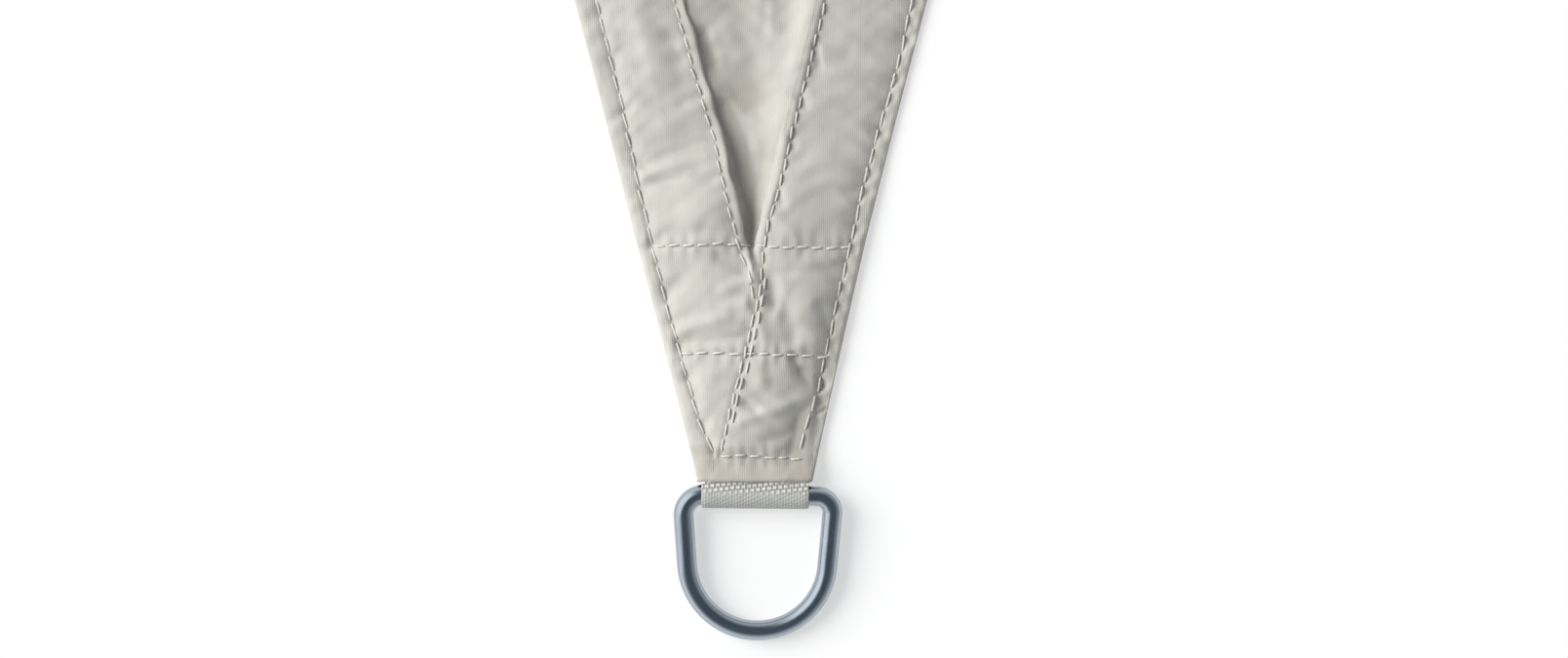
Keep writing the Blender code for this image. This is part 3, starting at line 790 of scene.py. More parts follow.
def clear_of_others(edge, points, over, under, first):
    """Points of a hem that stay clear of the next edge at either end, and of the tips.

    At its own corner the hem lies over the other one, and at the next corner under it.
    """
    numbers, _ = nearest_corners(points)
    keep = np.ones(len(points), bool)
    for number, other, clear in ((edge, edge + 2, over), ((edge + 1) % 3, edge + 1, under)):
        beyond = edge_place(other, points)[1]
        b = corner_place(number, points)[1]
        keep &= (numbers != number) | ((beyond > clear) & (b > first))
    return keep


def seam_rows():
    """Rows of points along the hems that carry their rolls, seams and folds."""
    rows = []
    for edge in range(3):
        runs = edge_runs(edge)
        for inset in sorted(set(CLOSE_ROWS) | set(LONG_ROWS)):
            points = edge_points(edge, runs, inset)
            over = inset * ROLL_OVER[0] + ROLL_OVER[1] if inset < ROLL_END else BAND_OVER
            keep = clear_of_others(edge, points, over, LIP_END + CLEAR, END_SETBACK + CLEAR)
            if inset not in LONG_ROWS:
                keep &= nearest_corners(points)[1] < CLOSE_REACH
            rows += runs_of(points, keep)
    return rows


def runs_of(points, keep):
    """The stretches of a row whose points are all kept."""
    found, start = [], None
    for i, kept in enumerate(list(keep) + [False]):
        if kept and start is None:
            start = i
        if not kept and start is not None:
            found.append(points[start:i])
            start = None
    return found


def cross_rows():
    """Rows of points across the corners, along the cross seams and beside them."""
    rows = []
    for number in range(3):
        spacing = SPACINGS[number][0]
        for seam in CROSS_SEAMS:
            for off in (-CROSS_SPREAD, 0.0, CROSS_SPREAD):
                reach = half_width(seam + off) - CROSS_CLEAR
                steps = round(2 * reach / spacing)
                across = reach * (2 * np.arange(steps + 1) / steps - 1)
                points = plan_point(number, across, np.full(steps + 1, seam + off))
                right, left = (edge_place(edge, points)[1] for edge in (number, number + 2))
                keep = np.abs(right - FOLD_ROWS) > FOLD_ROWS_REACH
                keep &= (np.abs(left - FOLD_ROWS) > FOLD_ROWS_REACH) | (right < LIP_END)
                rows += runs_of(points, keep)
    return rows


def near_tree(points):
    tree = KDTree(len(points))
    for i, point in enumerate(points):
        tree.insert((*point, 0.0), i)
    tree.balance()
    return tree


def field(taken, spacing_for, share):
    """Staggered rows of points over the sail, closest at the corners."""
    found = []
    tree = near_tree(taken)
    for number in range(3):
        b, row = END_SETBACK + 1.0, 0
        while b < SIDE / sqrt(3):
            spacing = spacing_for(number, b)
            reach = half_width(b) if b < STRAIGHT_END else END_HALF_WIDTH + b * sqrt(3)
            across = np.arange(-reach + spacing * (row % 2) / 2, reach, spacing)
            points = plan_point(number, across, np.full(len(across), b))
            insets = [edge_place(edge, points)[1] for edge in range(3)]
            keep = np.min(insets, axis=0) > EDGE_START + spacing / 2
            points = points[keep & (nearest_corners(points)[0] == number)]
            found += [point for point in points if tree.find((*point, 0.0))[2] > spacing * share]
            b += spacing * sqrt(3) / 2
            row += 1
    return np.array(found)


def triangulated(loop, rows, loose):
    """Triangles over the plan: points, faces, and the index of each point of the loop."""
    points = [Vector(p) for p in loop]
    edges = []
    for row in rows:
        first = len(points)
        points += [Vector(p) for p in row]
        edges += [(i, i + 1) for i in range(first, len(points) - 1)]
    points += [Vector(p) for p in loose]
    face = list(range(len(loop)))
    placed, _, faces, origins, _, _ = delaunay_2d_cdt(points, edges, [face], 1, 1e-5)
    index = {source: i for i, sources in enumerate(origins) for source in sources}
    return np.array([tuple(p) for p in placed]), faces, [index[i] for i in face]


def outward_at(loop):
    along = np.roll(loop, -1, axis=0) - np.roll(loop, 1, axis=0)
    out = np.stack((along[:, 1], -along[:, 0]), axis=-1)
    return out / np.hypot(out[:, 0], out[:, 1])[:, None]


def mouth_depth(loop):
    """How deep the blunt ends open round the webbing, at each point of the loop."""
    numbers, _ = nearest_corners(loop)
    depth = np.zeros(len(loop))
    for number in range(3):
        here = numbers == number
        a, b = corner_place(number, loop[here])
        from_side = WEBBING_WIDTH / 2 + MOUTH_SIDE - np.abs(a)
        at_end = np.abs(b - END_SETBACK) < 0.01
        depth[here] = np.where(at_end, MOUTH_DEPTH * smooth(from_side / MOUTH_SIDE), 0.0)
    return depth


def edge_rows(loop, rim):
    """Rows of the wall under the rim: round along the hems, open round the webbing at the ends."""
    out = outward_at(loop)
    placed = sewn(loop)
    depth = mouth_depth(loop)
    thin = np.minimum(0.5, rim * 0.3)
    rows = []
    for bulge, share, inside in EDGE_ROWS:
        height = rim * share
        if share < EDGE_ROWS[0][1]:
            ceiling = rim - thin - depth * inside * (tan(RISE) + SIDE_TREND)
            level = ceiling if share == EDGE_ROWS[1][1] else thin
            height = np.where(depth > 0.01, level, height)
        set_out = bulge * EDGE_START * EDGE_BULGE - depth * inside
        rows.append((placed + out * set_out[:, None], height))
    return rows


def sail_mesh(name, material):
    loop = outline()
    rows = seam_rows() + cross_rows()
    taken = np.concatenate([loop] + rows)
    points, faces, ring = triangulated(loop, rows, field(taken, open_spacing, ROW_SHARE))
    loose = field(loop, lambda number, b: UNDER_SPACING + OPEN_GROWTH * b, 0.9)
    under_points, under_faces, under_ring = triangulated(loop, [], loose)

    heights, painted_shade, moved = sail_heights(points)
    bm = bmesh.new()
    # each point of the cloth carries how much painted shade its colour takes
    shade = bm.verts.layers.float.new("painted_shade")

    def vertex(place, height, deep=0.0):
        made = bm.verts.new((place[0] * MM, place[1] * MM, height * MM))
        made[shade] = deep
        return made

    upper = [vertex(p, h, d) for p, h, d in zip(sewn(points) + moved, heights, painted_shade)]
    lower = [vertex(p, 0.0) for p in sewn(under_points)]
    for face in faces:
        bm.faces.new([upper[i] for i in face])
    for face in under_faces:
        bm.faces.new([lower[i] for i in face[::-1]])

    wall = [[upper[i] for i in ring]]
    for places, levels in edge_rows(loop, heights[ring]):
        wall.append([vertex(p, h, EDGE_SHADE) for p, h in zip(places, levels)])
    wall.append([lower[i] for i in under_ring])
    count = len(loop)
    for above, below in zip(wall, wall[1:]):
        for i in range(count):
            j = (i + 1) % count
            bm.faces.new((below[i], below[j], above[j], above[i]))
    bmesh.ops.remove_doubles(bm, verts=[v for row in wall[1:-1] for v in row], dist=1e-6)
    return finished(name, bm, material)


# Meshes


def piece_of(name, mesh, material, sharp=180):
    mesh.materials.append(material)
    mesh.shade_smooth()
    if sharp < 180:
        mesh.set_sharp_from_angle(angle=radians(sharp))
    piece = bpy.data.objects.new(name, mesh)
    bpy.context.scene.collection.objects.link(piece)
    return piece


def mesh_of(name, bm):
    bmesh.ops.recalc_face_normals(bm, faces=bm.faces)
    mesh = bpy.data.meshes.new(name)
    bm.to_mesh(mesh)
    bm.free()
    return mesh


def finished(name, bm, material, sharp=180):
    return piece_of(name, mesh_of(name, bm), material, sharp)


def corner_matrix(number, turn, shift, height=0.0, tilt=0.0):
    """From a corner's own frame, in metres, to the whole sail's."""
    bar, across, _ = corner_axes(number)
    stand = Matrix.Translation((*((bar + MIDDLE) * MM), 0))
    stand @= Matrix.Rotation(atan2(across[1], across[0]), 4, "Z")
    turned = Euler((tilt, 0, turn)).to_matrix().to_4x4()
    return stand @ Matrix.Translation((shift * MM, 0, height * MM)) @ turned


def pulled(bm, edges, vec, steps=1):
    """Edges drawn out in even steps, with new faces behind them."""
    for _ in range(steps):
        made = bmesh.ops.extrude_edge_only(bm, edges=edges)["geom"]
        verts = [item for item in made if isinstance(item, bmesh.types.BMVert)]
        bmesh.ops.translate(bm, verts=verts, vec=vec / steps)
        edges = [item for item in made if isinstance(item, bmesh.types.BMEdge)]
    return edges


def spun(bm, edges, centre, axis, angle, steps):
    """Edges turned about a centre, with new faces behind them."""
    made = bmesh.ops.spin(
        bm,
        geom=edges,
        cent=centre,
        axis=axis,
        dvec=(0, 0, 0),
        angle=angle,
        steps=steps,
        use_duplicate=False,
    )
    return [item for item in made["geom_last"] if isinstance(item, bmesh.types.BMEdge)]


def set_in_place(bm, matrix):
    bmesh.ops.scale(bm, verts=bm.verts, vec=(MM, MM, MM))
    bmesh.ops.transform(bm, verts=bm.verts, matrix=matrix)


# The stitches

THREAD = 0.36  # radius, in mm
THREAD_SIDES = 5
# Sections of a stitch, 1 long: along it, up in radii, radius
STITCH_START = (-0.5, -1.4, 0.8)
STITCH_SECTIONS = (
    (-0.40, 0.0, 1.2),
    (-0.14, 0.45, 1.1),
    (0.14, 0.45, 1.0),
    (0.40, 0.0, 0.92),
    (0.5, -1.4, 0.8),
)
STITCH_GAP = 0.45
LONG_WANDER = 0.16  # how far stitches lie beside their row
SHORT_WANDER = 0.10
SEAM_WOBBLE = 0.25
WOBBLE_LENGTH = 61.0
# How much of its pitch a stitch covers, and how far its ends turn to the sides
OUTER_STITCH = (OUTER_PITCH, 0.92, 0.16)
INNER_STITCH = (INNER_PITCH, 0.89, 0.16)
CROSS_STITCH = (CROSS_PITCH, 0.84, 0.10)
TIP_STITCH = (4.9, 0.84, 0.12)
TIP_STRAND = (11.0, 58.0, 1.0)  # runs of the second strand of inner stitches
TIP_STRAND_SHIFT = -1.5


def thread_stitch():
    """One stitch, 1 long: a low arch of thread that goes into the cloth at both ends."""
    bm = bmesh.new()
    x, z, size = STITCH_START
    bmesh.ops.create_circle(bm, cap_ends=True, segments=THREAD_SIDES, radius=size)
    bmesh.ops.rotate(bm, verts=bm.verts, matrix=Matrix.Rotation(pi / 2, 3, "Y"))
    bmesh.ops.translate(bm, verts=bm.verts, vec=(x, 0, z))
    face = bm.faces[:][0]
    for x, z, size in STITCH_SECTIONS:
        middle = face.calc_center_median()
        face = bmesh.ops.extrude_discrete_faces(bm, faces=[face])["faces"][0]
        bmesh.ops.translate(bm, verts=face.verts, vec=Vector((x, 0, z)) - middle)
    return mesh_of("thread_stitch", bm)


def stitch_run(points, pitch, cover, slant, seed):
    """Stitches along a row of plan points: where each comes up and where it goes down."""
    steps = np.hypot(*np.diff(points, axis=0).T)
    run = np.concatenate(([0.0], np.cumsum(steps)))
    count = max(1, round(run[-1] / pitch))
    pitch = run[-1] / count
    stitches = []
    for i in range(count):
        wander = LONG_WANDER * sin(2.1 * i + seed) + SHORT_WANDER * sin(5.3 * i + 2 * seed)
        ends = (i * pitch + STITCH_GAP, i * pitch + pitch * cover)
        ends = [[np.interp(end, run, points[:, axis]) for axis in range(2)] for end in ends]
        start, end = np.array(ends)
        along = (end - start) / np.hypot(*(end - start))
        side = np.array((-along[1], along[0]))
        tip = slant * (1 + 0.5 * sin(1.7 * i + seed))
        stitches.append((start + side * (wander - tip), end + side * (wander + tip)))
    return stitches


def stitches_mesh(name, material, stitches):
    """All the stitches of one kind, joined from arrays."""
    thread = thread_stitch()
    shape = np.array([vert.co[:] for vert in thread.vertices])
    faces = [face.vertices[:] for face in thread.polygons]
    bpy.data.meshes.remove(thread)

    feet = np.array([foot for foot, _ in stitches])
    heads = np.array([head for _, head in stitches])
    low, _, feet_moved = sail_heights(feet)
    high, _, heads_moved = sail_heights(heads)
    middle_low = sail_heights((feet + heads) / 2)[0]
    feet = np.column_stack((sewn(feet) + feet_moved, low))
    heads = np.column_stack((sewn(heads) + heads_moved, high))
    along = heads - feet
    side = np.cross((0.0, 0.0, 1.0), along)
    side /= np.linalg.norm(side, axis=1)[:, None]
    up = np.cross(along, side)
    up /= np.linalg.norm(up, axis=1)[:, None]
    middle = (feet + heads) / 2
    middle[:, 2] = np.maximum(middle[:, 2], (middle[:, 2] + middle_low) / 2) + THREAD * 0.6
    directions = (along, side * THREAD * 1.1, up * THREAD)
    parts = [np.multiply.outer(shape[:, axis], part) for axis, part in enumerate(directions)]
    verts = (middle + sum(parts)).transpose(1, 0, 2).reshape(-1, 3) * MM
    count = len(shape)
    joined = [tuple(i + count * n for i in face) for n in range(len(stitches)) for face in faces]
    mesh = bpy.data.meshes.new(name)
    mesh.from_pydata(verts.tolist(), [], joined)
    return piece_of(name, mesh, material)


def hem_stitches(edge, inset, under, stitch):
    """Stitches along a hem, up to where another hem or the last cross seam ends them."""
    runs = np.arange(0.0, EDGE_LENGTH, 2.0)
    wobble = SEAM_WOBBLE * unevenness(runs, WOBBLE_LENGTH, edge + inset)
    points = edge_points(edge, runs, 0.0)
    points = points + inward_from(edge, points) * (inset + wobble)[:, None]
    keep = clear_of_others(edge, points, OUTER_SEAM + 0.6, under, CROSS_SEAMS[0] + 0.4)
    return [found for row in runs_of(points, keep) for found in stitch_run(row, *stitch, edge + inset)]


def cross_stitches(number, seam):
    reach = half_width(seam) - OUTER_SEAM
    start = -reach if seam > LAST_SEAM else -0.75 * reach
    across = np.linspace(start, reach + 1.6, round((reach - start) / 1.2))
    drop = 0.6 * across / reach + 0.3 * np.sin(across / 6 + seam)
    return stitch_run(plan_point(number, across, seam - drop), *CROSS_STITCH, seam)


def tip_stitches(number):
    """The second strand that runs beside the right hem's inner seam to the tip."""
    row = edge_points(number, np.arange(*TIP_STRAND), INNER_SEAM)
    row = row[edge_place(number + 2, row)[1] > OUTER_SEAM + 2.4]
    row = row + inward_from(number, row) * TIP_STRAND_SHIFT
    return stitch_run(row, *TIP_STITCH, 4.0 + number)


def seam_stitches():
    """Where every stitch on the upper side lies, by kind of seam."""
    outer, inner, cross = [], [], []
    for edge in range(3):
        outer += hem_stitches(edge, OUTER_SEAM, OUTER_SEAM + 0.6, OUTER_STITCH)
        inner += hem_stitches(edge, INNER_SEAM, INNER_SEAM + 0.3, INNER_STITCH)
    for number in range(3):
        for seam in CROSS_SEAMS:
            cross += cross_stitches(number, seam)
        inner += tip_stitches(number)
    return outer, inner, cross


# The webbing loops and the rings

LOOP_COLUMNS = 24
LOOP_STEPS = 36
KNEE_STEPS = 4
ROUND_END = KNEE - 3  # places nearer the bar than this can lie on its round
LOWER_START = 27.0  # run of the webbing from the end of its upper leg's flat to its lower leg
EDGE_SAG = 0.16
WIRE_SIDES = 28
BAR_STEPS = 3
CORNER_STEPS = 12
BOW_STEPS = 56
GRAIN_STEPS = 40  # samples along each bend
GRAIN_SCALE = 100.0


def round_point(angle):
    return Vector((0, LOOP_RADIUS * cos(angle), BAR_HEIGHT + LOOP_RADIUS * sin(angle)))


def strip_run(b, height):
    """How far along the webbing a place lies, from the end of its upper leg."""
    angle = atan2(height - BAR_HEIGHT, b) % (2 * pi)
    if b < ROUND_END and UPPER_TANGENT - 0.02 < angle < LOWER_TANGENT + 0.02:
        return LEG_END + LOOP_RADIUS * (angle - UPPER_TANGENT)
    return LEG_END - b if height > (UPPER_LEG + LOWER_LEG) / 2 else LEG_END + LOWER_START + b


def webbing_loop(name, material, number):
    """A strip of webbing, spun round the bar and carried back under its own upper leg."""
    bm = bmesh.new()
    across = [(2 * i / LOOP_COLUMNS - 1) * WEBBING_WIDTH / 2 for i in range(LOOP_COLUMNS + 1)]
    verts = [bm.verts.new((a, LEG_END, UPPER_LEG)) for a in across]
    front = [bm.edges.new(pair) for pair in zip(verts, verts[1:])]
    front = pulled(bm, front, Vector((0, KNEE - LEG_END, 0)))
    front = pulled(bm, front, round_point(UPPER_TANGENT) - Vector((0, KNEE, UPPER_LEG)), KNEE_STEPS)
    turn = LOWER_TANGENT - UPPER_TANGENT
    front = spun(bm, front, (0, 0, BAR_HEIGHT), (1, 0, 0), turn, LOOP_STEPS)
    front = pulled(bm, front, Vector((0, HEEL, LOWER_LEG)) - round_point(LOWER_TANGENT))
    pulled(bm, front, Vector((0, LEG_END - HEEL, 0)))

    strip = bm.loops.layers.uv.new("strip")
    for face in bm.faces:
        for loop in face.loops:
            a, b, height = loop.vert.co
            loop[strip].uv = (a * MM, strip_run(b, height) * MM)
    for vert in bm.verts:
        if vert.co.y < ROUND_END:
            sag = EDGE_SAG * ramp(abs(vert.co.x) / (WEBBING_WIDTH / 2), 0.9, 0.1)
            vert.co += (Vector((vert.co.x, 0, BAR_HEIGHT)) - vert.co).normalized() * sag
    set_in_place(bm, corner_matrix(number, LOOP_TURN, END_SHIFT))
    piece = finished(name, bm, material, 60)
    thick = piece.modifiers.new("thickness", "SOLIDIFY")
    thick.thickness = LOOP_WEBBING * MM
    thick.offset = 0.0
    thick.use_even_offset = True
    soft = piece.modifiers.new("soft_edges", "BEVEL")
    soft.width = 0.32 * MM
    soft.segments = 3
    soft.limit_method = "ANGLE"
    soft.angle_limit = radians(50)
    return piece


def ring_bends():
    """The three bends of a D: centre, radius, first angle, turn."""
    bends = (
        (Vector((BAR_HALF - BAR_CORNER, -BAR_CORNER, 0)), BAR_CORNER),
        (Vector((LEFT_CORNER - BAR_HALF, -LEFT_CORNER, 0)), LEFT_CORNER),
        (Vector((0, -BOW_CENTRE, 0)), BOW),
    )
    leaves = []
    for i, (centre, radius) in enumerate(bends):
        next_centre, next_radius = bends[(i + 1) % 3]
        run = next_centre - centre
        leaves.append(atan2(run.y, run.x) - acos((radius - next_radius) / run.length))
    return [
        (centre, radius, leaves[i - 1], (leaves[i] - leaves[i - 1]) % (2 * pi))
        for i, (centre, radius) in enumerate(bends)
    ]


def bend_point(centre, radius, angle):
    return centre + Vector((cos(angle), sin(angle), 0)) * radius


def d_ring(name, material, number):
    """Round wire swept about the three bends of a D, starting in the middle of the bar."""
    bm = bmesh.new()
    bmesh.ops.create_circle(bm, cap_ends=False, segments=WIRE_SIDES, radius=WIRE / 2)
    bmesh.ops.rotate(bm, verts=bm.verts, matrix=Matrix.Rotation(pi / 2, 3, "Y"))
    front = bm.edges[:]
    place = Vector((0, 0, 0))
    right, left, bow = ring_bends()
    samples = []
    for bend, steps in ((left, CORNER_STEPS), (bow, BOW_STEPS), (right, CORNER_STEPS)):
        centre, radius, first, turn = bend
        front = pulled(bm, front, bend_point(centre, radius, first) - place, BAR_STEPS)
        front = spun(bm, front, centre, (0, 0, 1), turn, steps)
        place = bend_point(centre, radius, first + turn)
        for step in range(GRAIN_STEPS + 1):
            samples.append(bend_point(centre, radius, first + turn * step / GRAIN_STEPS))
    pulled(bm, front, -place, BAR_STEPS)
    bmesh.ops.remove_doubles(bm, verts=bm.verts, dist=0.01)

    # the grain that the wire was drawn with: round it, and along it
    grain = bm.verts.layers.float_vector.new("grain")
    lengths = [0.0]
    for before, after in zip(samples, samples[1:]):
        lengths.append(lengths[-1] + (after - before).length)
    middle = bow[0]
    for vert in bm.verts:
        near = min(range(len(samples)), key=lambda i: (samples[i] - vert.co).length_squared)
        out = (Vector((vert.co.x, vert.co.y, 0)) - middle).length - (samples[near] - middle).length
        angle = atan2(vert.co.z, out)
        vert[grain] = (cos(angle), sin(angle), lengths[near] / GRAIN_SCALE)
    set_in_place(bm, corner_matrix(number, RING_TURN, END_SHIFT + RING_SHIFT, BAR_HEIGHT, RING_TILT))
    return finished(name, bm, material)


# Materials

CREAM_LIGHT = (0.577, 0.563, 0.505)
CREAM_DARK = (0.541, 0.518, 0.466)
# Painted shade: the brown that the cloth's colour is darkened towards in seams, troughs, a fold's shadow and
# at the tip
PAINTED_SHADE_TINT = (0.310, 0.260, 0.212)
WEBBING_LIGHT = (0.550, 0.550, 0.515)
WEBBING_DARK = (0.440, 0.440, 0.410)
# Painted shade between the webbing's beads, and a painted highlight on the beads
WEBBING_SHADE = (0.340, 0.335, 0.300)
BEAD_HIGHLIGHT = (0.820, 0.815, 0.770)
THREAD_LIGHT = (0.760, 0.745, 0.680)
THREAD_DARK = (0.600, 0.585, 0.525)
# The ring's streaks: partly the wire's drawn grain, partly painted reflection of the studio
RING_LIGHT = (0.52, 0.575, 0.63)
RING_DARK = (0.25, 0.30, 0.35)

# Pitches in metres
CLOTH_RIBS = 0.00062
CLOTH_THREADS = 0.00055
WEBBING_RIBS = 0.00085
WEBBING_THREADS = 0.0008
BEAD_ROWS = 0.0019
BEADS = 0.00165
FINE_ROWS = 0.00115
BEADS_END_FROM = 0.0674  # run along the webbing over which its beads end, at the bar's round
BEADS_END_TO = 0.0694
# share of the painted shade's brown tint at the deepest places
PAINTED_SHADE_SHARE = 0.34


def node(tree, kind, label, **settings):
    made = tree.nodes.new(kind)
    made.label = label
    for key, value in settings.items():
        setattr(made, key, value)
    return made


def linked(tree, source, target, key):
    tree.links.new(source, target.inputs[key])


def worked(tree, label, operation, first, second=None, third=None):
    """What a Math node makes of up to three numbers or values."""
    made = node(tree, "ShaderNodeMath", label, operation=operation)
    for i, value in enumerate((first, second, third)):
        if isinstance(value, (int, float)):
            made.inputs[i].default_value = value
        elif value is not None:
            tree.links.new(value, made.inputs[i])
    return made.outputs[0]


def noise(tree, label, place, scale, detail=2.0, roughness=0.5, stretch=None):
    """Noise over a place, which may first be stretched."""
    if stretch:
        drawn = node(tree, "ShaderNodeVectorMath", "drawn out", operation="MULTIPLY")
        drawn.inputs[1].default_value = stretch
        linked(tree, place, drawn, 0)
        place = drawn.outputs[0]
    made = node(tree, "ShaderNodeTexNoise", label)
    for key, value in (("Scale", scale), ("Detail", detail), ("Roughness", roughness)):
        made.inputs[key].default_value = value
    linked(tree, place, made, "Vector")
    return made.outputs[0]


def ranged(tree, label, value, start, end, first=0.0, last=1.0):
    """A value brought from one range to another."""
    made = node(tree, "ShaderNodeMapRange", label)
    for key, number in (("From Min", start), ("From Max", end), ("To Min", first), ("To Max", last)):
        made.inputs[key].default_value = number
    linked(tree, value, made, "Value")
    return made.outputs[0]


def mixed(tree, label, factor, first, second, blend="MIX"):
    made = node(tree, "ShaderNodeMix", label, data_type="RGBA", blend_type=blend)
    for key, value in ((0, factor), (6, first), (7, second)):
        if isinstance(value, tuple):
            made.inputs[key].default_value = (*value, 1.0)
        elif isinstance(value, (int, float)):
            made.inputs[key].default_value = value
        else:
            tree.links.new(value, made.inputs[key])
    return made.outputs[2]


def object_place(tree):
    return node(tree, "ShaderNodeTexCoord", "place").outputs["Object"]


def new_material(name, **inputs):
    material = bpy.data.materials.new(name)
    material.use_nodes = True
    shader = material.node_tree.nodes["Principled BSDF"]
    for key, value in inputs.items():
        shader.inputs[key.replace("_", " ")].default_value = value
    return material, material.node_tree, shader


def surfaced(tree, shader, colour, roughness, height, strength, distance):
    """Colour, roughness and relief, given to a shader."""
    linked(tree, colour, shader, "Base Color")
    linked(tree, roughness, shader, "Roughness")
    relief = node(tree, "ShaderNodeBump", "relief")
    relief.inputs["Strength"].default_value = strength
    relief.inputs["Distance"].default_value = distance
    linked(tree, height, relief, "Height")
    linked(tree, relief.outputs[0], shader, "Normal")


def woven_cloth():
    """Plain weave as heights: ribs along Y, crossed by finer threads."""
    group = bpy.data.node_groups.new("woven_cloth", "ShaderNodeTree")
    face = group.interface
    face.new_socket("Coordinates", in_out="INPUT", socket_type="NodeSocketVector")
    for name in ("Rib Pitch", "Thread Pitch", "Unevenness"):
        face.new_socket(name, in_out="INPUT", socket_type="NodeSocketFloat")
    for name in ("Height", "Thread Tone"):
        face.new_socket(name, in_out="OUTPUT", socket_type="NodeSocketFloat")
    given = node(group, "NodeGroupInput", "given").outputs
    result = node(group, "NodeGroupOutput", "result")
    place = given["Coordinates"]
    parts = node(group, "ShaderNodeSeparateXYZ", "across and along")
    linked(group, place, parts, 0)
    off = worked(group, "off centre", "SUBTRACT", noise(group, "thread wander", place, scale=320.0), 0.5)
    off = worked(group, "unevenness", "MULTIPLY", off, given["Unevenness"])
    rib = worked(group, "ribs", "DIVIDE", parts.outputs[0], given["Rib Pitch"])
    rib = worked(group, "uneven ribs", "ADD", rib, off)
    rib_wave = worked(group, "rib wave", "PINGPONG", rib, 0.5)
    rib_high = worked(group, "rib height", "MULTIPLY", rib_wave, 2.0)
    thread = worked(group, "threads", "DIVIDE", parts.outputs[1], given["Thread Pitch"])
    stagger = worked(group, "stagger", "MULTIPLY", worked(group, "rib number", "FLOOR", rib), 0.5)
    thread = worked(group, "staggered threads", "ADD", thread, stagger)
    thread_wave = worked(group, "thread wave", "PINGPONG", thread, 0.5)
    thread_high = worked(group, "thread height", "MULTIPLY", thread_wave, 2.0)
    woven = worked(group, "woven", "MULTIPLY_ADD", thread_high, 0.45, rib_high)
    linked(group, woven, result, "Height")
    tone = noise(group, "thread tone", place, scale=1.0, detail=3.0, stretch=(900.0, 40.0, 40.0))
    linked(group, tone, result, "Thread Tone")
    return group


def placed_weave(tree, group, label, place, **values):
    made = node(tree, "ShaderNodeGroup", label, node_tree=group)
    linked(tree, place, made, "Coordinates")
    for key, value in values.items():
        made.inputs[key.replace("_", " ")].default_value = value
    return made.outputs


def cream_polyester(weave):
    material, tree, shader = new_material(
        "cream_polyester",
        Specular_IOR_Level=0.38,
        Sheen_Weight=0.18,
        Sheen_Roughness=0.45,
    )
    place = object_place(tree)
    pitches = {"Rib_Pitch": CLOTH_RIBS, "Thread_Pitch": CLOTH_THREADS}
    woven = placed_weave(tree, weave, "weave", place, **pitches, Unevenness=1.4)
    dye = noise(tree, "uneven dye", place, scale=26.0, detail=4.0)
    colour = mixed(tree, "dye", dye, CREAM_DARK, CREAM_LIGHT)
    tone = worked(tree, "thread tone", "MULTIPLY_ADD", woven["Thread Tone"], 0.10, 0.95)
    colour = mixed(tree, "threads", 1.0, colour, tone, "MULTIPLY")
    # Painted shade: the cloth darkens towards a brown tint in seams, troughs, a fold's shadow and at the tip
    deep = node(tree, "ShaderNodeAttribute", "seams and folds", attribute_name="painted_shade")
    deep = worked(tree, "painted shade share", "MULTIPLY", deep.outputs["Fac"], PAINTED_SHADE_SHARE)
    colour = mixed(tree, "painted_shades", deep, colour, PAINTED_SHADE_TINT)
    rough = worked(tree, "worn sheen", "MULTIPLY_ADD", dye, 0.16, 0.50)
    surfaced(tree, shader, colour, rough, woven["Height"], strength=0.42, distance=0.00010)
    return material


def bead_rows(tree, place, across, along):
    """Raised beads of the webbing in slanting rows, and the stretch before the bar's round where they lie."""
    slant = worked(tree, "slanting rows", "MULTIPLY_ADD", across, 0.17, along)
    row = worked(tree, "row number", "DIVIDE", slant, BEAD_ROWS)
    beads = worked(tree, "bead number", "DIVIDE", across, BEADS)
    whole_row = worked(tree, "whole row", "FLOOR", row)
    beads = worked(tree, "beads set off", "MULTIPLY_ADD", whole_row, 0.37, beads)
    beads = worked(tree, "beads", "PINGPONG", beads, 0.5)
    rows = worked(tree, "rows", "PINGPONG", row, 0.5)
    knots = worked(tree, "beads in rows", "MINIMUM", beads, rows)
    # the beads, and their painted highlight, end where the webbing reaches the bar's round
    before_round = ranged(tree, "beads end on the round", along, BEADS_END_FROM, BEADS_END_TO, 1.0, 0.0)
    kept = ranged(tree, "beads kept", noise(tree, "fluffed beads", place, scale=150.0), 0.32, 0.52, 0.35)
    raised = ranged(tree, "raised beads", knots, 0.12, 0.28)
    raised = worked(tree, "beads on top", "MULTIPLY", raised, before_round)
    return worked(tree, "beads left", "MULTIPLY", raised, kept), before_round


